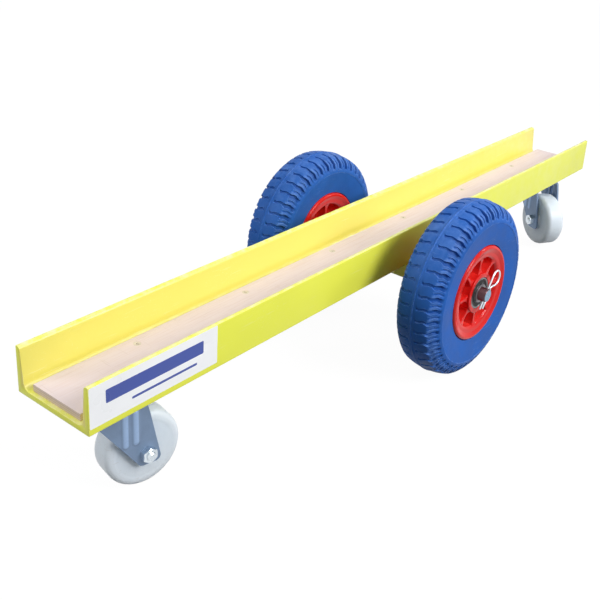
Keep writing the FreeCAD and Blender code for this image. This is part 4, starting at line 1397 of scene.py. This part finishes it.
class SLAB_DOLLY_OT_rims(bpy.types.Operator):
    """Moulded rims: rolled lip, band that falls inward, pockets between ribs, and a hub for the bearings"""
    bl_idname = "slab_dolly.rims"
    bl_label = "Rims"

    def execute(self, context):
        sizes = context.scene.slab_dolly.rim
        low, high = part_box("front_rim")
        face = (high.y - low.y) / 2
        lip_back = face - sizes.lip_thickness
        seat = context.scene.slab_dolly.tyre.seat_radius
        bore = sizes.bearing_radius
        shoulder = sizes.bearing_end - sizes.bearing_width
        web = sizes.web_thickness / 2
        draft = 1 * mm
        step = bore - 2.5 * mm
        lip_inner = sizes.lip_radius - sizes.lip_width
        side = outline([
            (step, 0, 0), (step, shoulder, 0), (bore, shoulder, 0),
            (bore, sizes.hub_end, 0.6 * mm), (sizes.hub_radius, sizes.hub_end, 1.4 * mm),
            (sizes.hub_radius + draft, web, 2 * mm), (sizes.barrel_radius - draft, web, 2 * mm),
            (sizes.barrel_radius, face - sizes.band_drop, sizes.barrel_round),
            (lip_inner - sizes.band_width, face - sizes.band_fall, 5 * mm), (lip_inner, face, 3 * mm),
            (sizes.lip_radius, face, sizes.lip_round), (sizes.lip_radius, lip_back, 1 * mm),
            (seat + 2 * mm, lip_back, 0), (seat, lip_back - 2 * mm, 0), (seat, 0, 0),
        ], 10)
        whole = both_sides(side)
        finish = finish_named("red_moulding")
        for wheel, _ in WHEELS:
            ribs = new_piece("rim_ribs", [rim_rib(sizes)], [finish])
            grow(ribs, tree_named("Ring of parts", ring_tree),
                 {"Count": sizes.ribs, "Material": finish}, 60)
            rib_part = ([vertex.co.copy() for vertex in ribs.data.vertices],
                        [tuple(face.vertices) for face in ribs.data.polygons])
            bpy.data.objects.remove(ribs)
            place = middle_of(f"{wheel}_rim")
            parts = [moved(turned(whole, 128), place), moved(rib_part, place)]
            piece = new_piece(f"moulded_rim_{wheel}", parts, [finish], 40)
            values = []
            for vertex in piece.data.vertices:
                out = math.hypot(vertex.co.x - place.x, vertex.co.z - place.z)
                away = abs(vertex.co.y - place.y)
                deep = 1 - smooth_step(away, sizes.rib_height - 6 * mm, sizes.rib_height + 0.5 * mm)
                values.append(deep * smooth_step(out, sizes.hub_radius - 1 * mm, sizes.hub_radius))
            mark(piece.data, "pocket", values)
            hand_over(piece, f"{wheel}_wheel", [f"{wheel}_rim"])
        return {"FINISHED"}


class SLAB_DOLLY_OT_bearings(bpy.types.Operator):
    """Ball bearings with steel rings and a dished rubber seal on each face"""
    bl_idname = "slab_dolly.bearings"
    bl_label = "Bearings"

    def execute(self, context):
        sizes = context.scene.slab_dolly.rim
        half = sizes.bearing_width / 2
        outer, inner = sizes.bearing_radius, sizes.bearing_bore
        outer_land, inner_land = outer - 3 * mm, inner + 4 * mm
        soft, sharp = 0.6 * mm, 0.3 * mm
        outer_ring = ring_outline(outer_land, outer, half, sharp, soft, 4)
        inner_ring = ring_outline(inner, inner_land, half, soft, sharp, 4)
        sunk = half - 0.7 * mm
        dish = half - 1.3 * mm
        seal_side = [(inner_land - 0.2 * mm, sunk - 0.3 * mm), (inner_land + 0.8 * mm, sunk),
                     (inner_land + 1.6 * mm, dish), (outer_land - 2 * mm, dish), (outer_land - 1 * mm, sunk),
                     (outer_land + 0.2 * mm, sunk)]
        seal = seal_side + [(across, -along) for across, along in reversed(seal_side)]
        finishes = [finish_named("black_rubber"), finish_named("ground_steel")]
        for wheel, _ in WHEELS:
            for letter in ("a", "b"):
                node = f"{wheel}_bearing_{letter}"
                place = middle_of(node)
                parts = [moved(turned(ring, 72), place) for ring in (seal, outer_ring, inner_ring)]
                piece = new_piece(f"ball_bearing_{wheel}_{letter}", parts, finishes)
                hand_over(piece, f"{wheel}_wheel", [node])
        return {"FINISHED"}


# Casters

PIN_HOLE = 6.2 * mm  # radius of the hole for the kingpin


def caster_frame(settings, caster):
    """Place of a caster: origin on its swivel axis at the channel, wheel behind along its own X."""
    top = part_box("channel")[0].z
    swing = settings.near_turn if caster == "near" else settings.far_turn
    middle = middle_of(f"{caster}_kingpin")
    return Matrix.Translation((middle.x, middle.y, top)) @ Matrix.Rotation(-swing, 4, "Z")


def wheel_frame(settings, caster):
    """Place of a caster's wheel: origin in its middle, axle along its own Y."""
    return caster_frame(settings, caster) @ Matrix.Translation((settings.trail, 0, -settings.axle_drop))


class SLAB_DOLLY_OT_caster_plates(bpy.types.Operator):
    """Caster top plates with the grooved ball race under them"""
    bl_idname = "slab_dolly.caster_plates"
    bl_label = "Caster plates"

    def execute(self, context):
        sizes = context.scene.slab_dolly.caster
        length_half, width_half = sizes.plate_length / 2, sizes.plate_width / 2
        thick = sizes.plate_thickness
        foot = -(thick + sizes.race_height)
        race = sizes.race_radius
        corner = 8 * mm
        plate = rectangle((-length_half, -width_half), (length_half, width_half), corner, 10)
        ring = outline([
            (PIN_HOLE, -thick + 0.2 * mm, 0), (race + 0.6 * mm, -thick + 0.2 * mm, 0),
            (race, -thick - 0.8 * mm, 0.3 * mm), (race, -thick - 4.2 * mm, 0.8 * mm),
            (race - 1.6 * mm, -thick - 4.6 * mm, 0.2 * mm), (race - 1.6 * mm, -thick - 5.4 * mm, 0.2 * mm),
            (race - 0.2 * mm, -thick - 5.8 * mm, 0.8 * mm), (race - 0.2 * mm, foot, 3 * mm),
            (PIN_HOLE, foot, 0),
        ], 5)
        for caster in CASTERS:
            place = caster_frame(sizes, caster).translation
            flat = moved(drawn(plate, -thick, 0, "Z"), place)
            piece = new_piece(f"caster_plate_{caster}", [flat, moved(turned(ring, 96, axis="Z"), place)],
                              [finish_named("bright_zinc")])
            break_edges(piece, 0.5 * mm)
            hand_over(piece, "chassis", [f"{caster}_caster_plate"])
        return {"FINISHED"}


class SLAB_DOLLY_OT_plate_bolts(bpy.types.Operator):
    """Bolts and nuts that hold the caster plates, with the kingpins"""
    bl_idname = "slab_dolly.plate_bolts"
    bl_label = "Plate bolts, nuts and kingpins"

    def execute(self, context):
        sizes = context.scene.slab_dolly.caster
        web = context.scene.slab_dolly.channel.web
        thick = sizes.plate_thickness
        radius, head_radius, head_height, pitch = 4 * mm, 8 * mm, 4.4 * mm, 1.25 * mm
        nut_flats, nut_height = 13 * mm, 6.5 * mm
        shank_end = -(thick + nut_height + 1.5 * mm)
        shank = [(0, web), (head_radius, web), (radius, web - head_height)]
        shank += thread(radius, -thick, -(thick + nut_height + 1.2 * mm), pitch)
        shank += [(radius * 0.8, shank_end), (0, shank_end)]
        bolt = turned(shank, 32, closed=False, axis="Z")
        nut = hexagon(nut_flats, thick, thick + nut_height, radius)
        nut = moved(nut, Matrix.Rotation(-math.pi / 2, 4, "X"))
        finish = finish_named("bright_zinc")
        floor = sizes.crown_drop + 4.3 * mm
        pin_radius, pin_head, dimple = 6 * mm, 11 * mm, -floor - 3.6 * mm
        pin = outline([
            (0, 0, 0), (9 * mm, 0, 0), (pin_radius, -thick, 0), (pin_radius, -floor, 0),
            (pin_head, -floor, 0.3 * mm), (pin_head, -floor - 4.5 * mm, 2.4 * mm),
            (3 * mm, -floor - 4.5 * mm, 0.5 * mm), (2 * mm, dimple, 0), (0, dimple, 0),
        ], 6)
        for caster in CASTERS:
            place = caster_frame(sizes, caster).translation
            for name, part in (("bolt", bolt), ("nut", nut)):
                piece = new_piece(f"plate_{name}s_{caster}", [part], [finish])
                grow(piece, tree_named("Rows of parts", rows_tree), {
                    "Columns": 2, "Rows": 2, "Length": sizes.hole_length, "Width": sizes.hole_width,
                    "Place": place, "Seed": 4, "Material": finish,
                })
                nodes = [f"{caster}_plate_{name}_{number}" for number in range(1, 5)]
                hand_over(piece, "chassis", nodes)
            pin_part = moved(turned(pin, 48, closed=False, axis="Z"), place)
            piece = new_piece(f"kingpin_{caster}", [pin_part], [finish])
            hand_over(piece, "chassis", [f"{caster}_kingpin"])
        return {"FINISHED"}


def fork_edges(sizes):
    """Outline of the fork seen from the side, as CAD has it, in (behind, height) points."""
    top = -sizes.crown_drop
    foot = -(sizes.axle_drop + sizes.foot_drop)
    return outline([
        (-sizes.fork_front, top, sizes.corner_round), (sizes.fork_back, top, sizes.corner_round),
        (sizes.fork_shoulder_back, top - sizes.fork_shoulder_drop, sizes.edge_round),
        (sizes.trail + sizes.heel_back, foot + sizes.heel_rise, sizes.foot_round),
        (sizes.trail + sizes.foot_back, foot, sizes.foot_round),
        (sizes.trail - sizes.foot_front, foot, sizes.foot_round),
        (-sizes.fork_front, top - sizes.fork_front_drop, sizes.edge_round),
    ], 10)


def reach_at(edges, height):
    """Lowest and highest distance behind at which a closed outline crosses a height."""
    found = []
    for index, start in enumerate(edges):
        end = edges[(index + 1) % len(edges)]
        if (start[1] - height) * (end[1] - height) <= 0 and start[1] != end[1]:
            part = (height - start[1]) / (end[1] - start[1])
            found.append(start[0] + (end[0] - start[0]) * part)
    return min(found), max(found)


def bead_rise(sizes, behind, height):
    """How far the two pressed beads stand out of a leg at a point."""
    top = -(sizes.crown_drop + sizes.bead_top)
    foot = -(sizes.axle_drop - sizes.bead_foot)
    below = max(foot - height, 0) + max(height - top, 0)
    away = min(math.hypot(behind - place, below) for place in (sizes.bead_first, sizes.bead_second))
    return sizes.bead_height * (1 - smooth_step(away, 0.8 * mm, sizes.bead_width))


def fork_sheet(sizes):
    """Outer face of the pressed fork: up one leg, over the crown and down the other."""
    edges = fork_edges(sizes)
    outer = sizes.inner_width / 2 + sizes.steel
    top = -sizes.crown_drop
    bend = sizes.bend_radius
    foot = min(point[1] for point in edges)
    levels = []
    leg_rows = 76
    for row in range(leg_rows + 1):
        levels.append((outer, foot + (top - bend - foot) * row / leg_rows, 1.0))
    for row in range(1, 9):
        angle = row / 8 * math.pi / 2
        levels.append((outer - bend + bend * math.cos(angle), top - bend + bend * math.sin(angle), 0.0))
    crown_rows = 12
    half_crown = outer - bend
    for row in range(1, crown_rows + 1):
        levels.append((half_crown * (1 - row / crown_rows), top, 0.0))
    path = levels + [(-across, height, leg) for across, height, leg in reversed(levels[:-1])]
    columns = 48
    rings = []
    for across, height, leg in path:
        level = min(max(height, foot + 0.02 * mm), top - 0.02 * mm)
        back, ahead = reach_at(edges, level)
        ring = []
        for column in range(columns + 1):
            behind = back + (ahead - back) * column / columns
            rise = bead_rise(sizes, behind, height) * leg * smooth_step(top - bend - height, 0, 5 * mm)
            ring.append(Vector((behind, across + math.copysign(rise, across), height)))
        rings.append(ring)
    return looped(rings, round_rings=False, round_run=False)


class SLAB_DOLLY_OT_forks(bpy.types.Operator):
    """Pressed forks with two stiffening beads down each leg"""
    bl_idname = "slab_dolly.forks"
    bl_label = "Caster forks"

    def execute(self, context):
        sizes = context.scene.slab_dolly.caster
        finish = finish_named("blue_zinc")
        low, high = -sizes.crown_drop - 7 * mm, 2 * mm - sizes.crown_drop
        drill = turned([(0, low), (PIN_HOLE, low), (PIN_HOLE, high), (0, high)], 64, closed=False, axis="Z")
        for caster in CASTERS:
            place = caster_frame(sizes, caster)
            piece = new_piece(f"pressed_fork_{caster}", [moved(fork_sheet(sizes), place)], [finish], 60)
            mesh = piece.data
            face = max(mesh.polygons, key=lambda polygon: polygon.center.z)
            if face.normal.z < 0:
                mesh.flip_normals()
            wall = piece.modifiers.new("Steel", "SOLIDIFY")
            wall.thickness = sizes.steel
            wall.offset = -1
            wall.use_even_offset = False
            keep_result(piece, 60)
            break_edges(piece, 0.6 * mm, 2, 60)
            cut_away(piece, new_piece("pin_hole", [moved(drill, place)], [finish]))
            own = place.inverted()
            spots = [own @ vertex.co for vertex in piece.data.vertices]
            rises = [bead_rise(sizes, spot.x, spot.z) / sizes.bead_height for spot in spots]
            mark(piece.data, "bead", rises)
            hand_over(piece, f"{caster}_fork", [f"{caster}_caster_fork"])
        return {"FINISHED"}


class SLAB_DOLLY_OT_fork_bolts(bpy.types.Operator):
    """Wheel bolts with their nuts and spacer tubes"""
    bl_idname = "slab_dolly.fork_bolts"
    bl_label = "Wheel bolts, nuts and spacers"

    def execute(self, context):
        sizes = context.scene.slab_dolly.caster
        radius, flats, pitch, head_height = 5 * mm, 17 * mm, 1.5 * mm, 6.4 * mm
        seat = sizes.inner_width / 2 + sizes.steel
        nut_end = seat + 8 * mm
        rod_end = -nut_end - 3 * mm
        rod = [(0, rod_end), (radius * 0.78, rod_end)]
        rod += thread(radius, -nut_end - 2.6 * mm, -seat + 1.5 * mm, pitch)
        rod += [(radius, -seat + 1.6 * mm), (radius, seat), (radius, seat + 0.1 * mm), (0, seat + 0.1 * mm)]
        bolt = turned(rod, 40, closed=False)
        head = hexagon(flats, seat, seat + head_height, 0.4 * mm)
        dome = turned([(0, seat + 6.0 * mm), (1.6 * mm, seat + 6.1 * mm), (0.5 * mm, seat + 5.4 * mm),
                       (0, seat + 5.4 * mm)], 24, closed=False)
        nut = hexagon(flats, -seat, -nut_end, radius)
        tube_bore, tube_radius = 5.2 * mm, 7.5 * mm
        tube = turned(ring_outline(tube_bore, tube_radius, sizes.inner_width / 2, 0, 0.3 * mm, 3), 48)
        finish = finish_named("bright_zinc")
        for caster in CASTERS:
            place = wheel_frame(sizes, caster)
            for name, node, parts in (("fork_bolt", "wheel_bolt", [bolt, head, dome]),
                                      ("fork_nut", "wheel_nut", [nut]), ("spacer_tube", "sleeve", [tube])):
                piece = new_piece(f"{name}_{caster}", [moved(part, place) for part in parts], [finish], 30)
                hand_over(piece, f"{caster}_fork", [f"{caster}_caster_{node}"])
        return {"FINISHED"}


class SLAB_DOLLY_OT_caster_wheels(bpy.types.Operator):
    """Turned nylon wheels with rounded edges and a shallow dish"""
    bl_idname = "slab_dolly.caster_wheels"
    bl_label = "Caster wheels"

    def execute(self, context):
        sizes = context.scene.slab_dolly.caster
        dish = sizes.wheel_half - sizes.dish_depth
        bore = 7.55 * mm  # a little wider than the spacer tube
        side = outline([
            (bore, 0, 0), (bore, sizes.hub_half, 0.5 * mm), (sizes.hub_radius, sizes.hub_half, 1.6 * mm),
            (sizes.dish_inner, dish, 1.6 * mm), (sizes.dish_outer, dish, 3 * mm),
            (sizes.dish_rim, sizes.wheel_half, 2 * mm),
            (sizes.wheel_radius, sizes.wheel_half, sizes.wheel_round), (sizes.wheel_radius, 0, 0),
        ], 9)
        whole = both_sides(side)
        for caster in CASTERS:
            place = wheel_frame(sizes, caster)
            piece = new_piece(f"nylon_wheel_{caster}", [moved(turned(whole, 128), place)],
                              [finish_named("cast_nylon")], 45)
            hand_over(piece, f"{caster}_roller", [f"{caster}_caster_wheel"])
        return {"FINISHED"}


class SLAB_DOLLY_OT_sticker(bpy.types.Operator):
    """Blank film sticker with a plain band on the channel's front wall"""
    bl_idname = "slab_dolly.sticker"
    bl_label = "Sticker"

    def execute(self, context):
        low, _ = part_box("channel")
        film, corner = 0.15 * mm, 1.5 * mm
        parts = []
        for left, right, foot, top, lift in (
            (1, 182, 8, 56.5, 1), (22, 160, 30, 46, 1.4), (56, 150, 19, 22, 1.4),
        ):
            shape = rectangle((low.x + left * mm, low.z + foot * mm), (low.x + right * mm, low.z + top * mm),
                              corner, 5)
            parts.append(drawn(shape, low.y - film * lift, low.y + film, "Y"))
        piece = new_piece("blank_sticker", parts, [finish_named("white_film"), finish_named("blue_print")])
        hand_over(piece, "chassis", [])
        return {"FINISHED"}


# Stage

def background_ray(tree):
    """1 for rays that see the background straight, in a reflection or through glass."""
    path = put(tree, "ShaderNodeLightPath").outputs
    seen = math_of(tree, "MAXIMUM", path["Is Camera Ray"], path["Is Glossy Ray"])
    return math_of(tree, "MAXIMUM", seen, path["Is Transmission Ray"])


def add_lamp(name, place, size, level):
    """Round lamp of a size that points at the dolly's middle, or even light over a wide angle without one."""
    lamp = bpy.data.lights.new(name, "AREA" if size else "SUN")
    lamp.energy = level
    if size:
        lamp.shape = "DISK"
        lamp.size = size
    else:
        lamp.angle = math.pi / 2
    holder = linked(name, lamp)
    holder.location = place
    holder.rotation_euler = (Vector((0, 0, 0.12)) - Vector(place)).to_track_quat("-Z", "Y").to_euler()


class SLAB_DOLLY_OT_stage(bpy.types.Operator):
    """White floor and surroundings, soft lamps and the camera"""
    bl_idname = "slab_dolly.stage"
    bl_label = "Stage"

    def execute(self, context):
        sizes = context.scene.slab_dolly.stage
        scene = context.scene
        half = sizes.floor_size / 2
        mesh = bpy.data.meshes.new("white_floor")
        corners = [(-half, -half, 0), (half, -half, 0), (half, half, 0), (-half, half, 0)]
        mesh.from_pydata(corners, [], [(0, 1, 2, 3)])
        floor = linked("white_floor", mesh)
        material = bpy.data.materials.new("white_floor")
        tree = bare_tree(material)
        seen = put(tree, "ShaderNodeLightPath").outputs["Is Camera Ray"]
        white = put(tree, "ShaderNodeMapRange",
                    {"Value": seen, "To Min": sizes.floor_bounce, "To Max": 0.95}).outputs[0]
        matt = put(tree, "ShaderNodeBsdfDiffuse", {"Color": white}).outputs[0]
        light = put(tree, "ShaderNodeEmission", {"Color": (1, 1, 1, 1), "Strength": 1.03}).outputs[0]
        blend = product(tree, background_ray(tree), sizes.floor_glow)
        both = put(tree, "ShaderNodeMixShader", {0: blend, 1: matt, 2: light}).outputs[0]
        put(tree, "ShaderNodeOutputMaterial", {"Surface": both})
        mesh.materials.append(material)

        world = bpy.data.worlds.new("white_room")
        scene.world = world
        tree = bare_tree(world)
        level = math_of(tree, "MAXIMUM", background_ray(tree), sizes.ambient)
        sky = put(tree, "ShaderNodeBackground", {"Color": (1, 1, 1, 1), "Strength": level}).outputs[0]
        put(tree, "ShaderNodeOutputWorld", {"Surface": sky})

        add_lamp("key_lamp", (0.35, -3.0, 2.1), 1.7, sizes.key)
        add_lamp("right_lamp", (2.6, -1.8, 1.9), 0.6, sizes.right)
        add_lamp("left_lamp", (-2.6, 1.6, 1.1), 1.2, sizes.left)
        add_lamp("sky_light", (0, 0, 3), 0, sizes.sky)

        lens = bpy.data.cameras.new("photo_camera")
        lens.sensor_width = 36
        lens.lens = sizes.lens
        lens.shift_x = sizes.shift_x
        lens.shift_y = sizes.shift_y
        camera = linked("photo_camera", lens)
        quarter = math.pi / 2
        camera.matrix_world = (
            Matrix.Translation(sizes.camera_place) @ Matrix.Rotation(sizes.azimuth - quarter, 4, "Z")
            @ Matrix.Rotation(sizes.elevation + quarter, 4, "X") @ Matrix.Rotation(sizes.roll, 4, "Z")
        )
        scene.camera = camera
        scene.view_settings.view_transform = "Standard"
        return {"FINISHED"}


STEPS = (
    SLAB_DOLLY_OT_channel, SLAB_DOLLY_OT_board, SLAB_DOLLY_OT_board_screws, SLAB_DOLLY_OT_housing,
    SLAB_DOLLY_OT_axle, SLAB_DOLLY_OT_washers, SLAB_DOLLY_OT_clips, SLAB_DOLLY_OT_tyres,
    SLAB_DOLLY_OT_rims, SLAB_DOLLY_OT_bearings, SLAB_DOLLY_OT_caster_plates, SLAB_DOLLY_OT_plate_bolts,
    SLAB_DOLLY_OT_forks, SLAB_DOLLY_OT_fork_bolts, SLAB_DOLLY_OT_caster_wheels, SLAB_DOLLY_OT_sticker,
    SLAB_DOLLY_OT_stage,
)
GROUPS = (
    ChannelSettings, BoardSettings, AxleSettings, TyreSettings, RimSettings, CasterSettings, StageSettings,
    DollySettings,
)


class SLAB_DOLLY_PT_panel(bpy.types.Panel):
    """Sizes, colours and steps of the slab dolly"""
    bl_label = "Slab dolly"
    bl_space_type = "VIEW_3D"
    bl_region_type = "UI"
    bl_category = "Slab dolly"

    def draw(self, context):
        settings = context.scene.slab_dolly
        for step in STEPS:
            self.layout.operator(step.bl_idname)
        for group in DollySettings.__annotations__:
            box = self.layout.box()
            box.label(text=group.title())
            for name in getattr(settings, group).__annotations__:
                box.prop(getattr(settings, group), name)


def register():
    for group in GROUPS + STEPS + (SLAB_DOLLY_PT_panel,):
        bpy.utils.register_class(group)
    bpy.types.Scene.slab_dolly = bpy.props.PointerProperty(type=DollySettings)


def unregister():
    del bpy.types.Scene.slab_dolly
    for group in reversed(GROUPS + STEPS + (SLAB_DOLLY_PT_panel,)):
        bpy.utils.unregister_class(group)


def main():
    register()
    for step in STEPS:
        getattr(bpy.ops.slab_dolly, step.bl_idname.split(".")[1])()


if __name__ == "__main__":
    main()
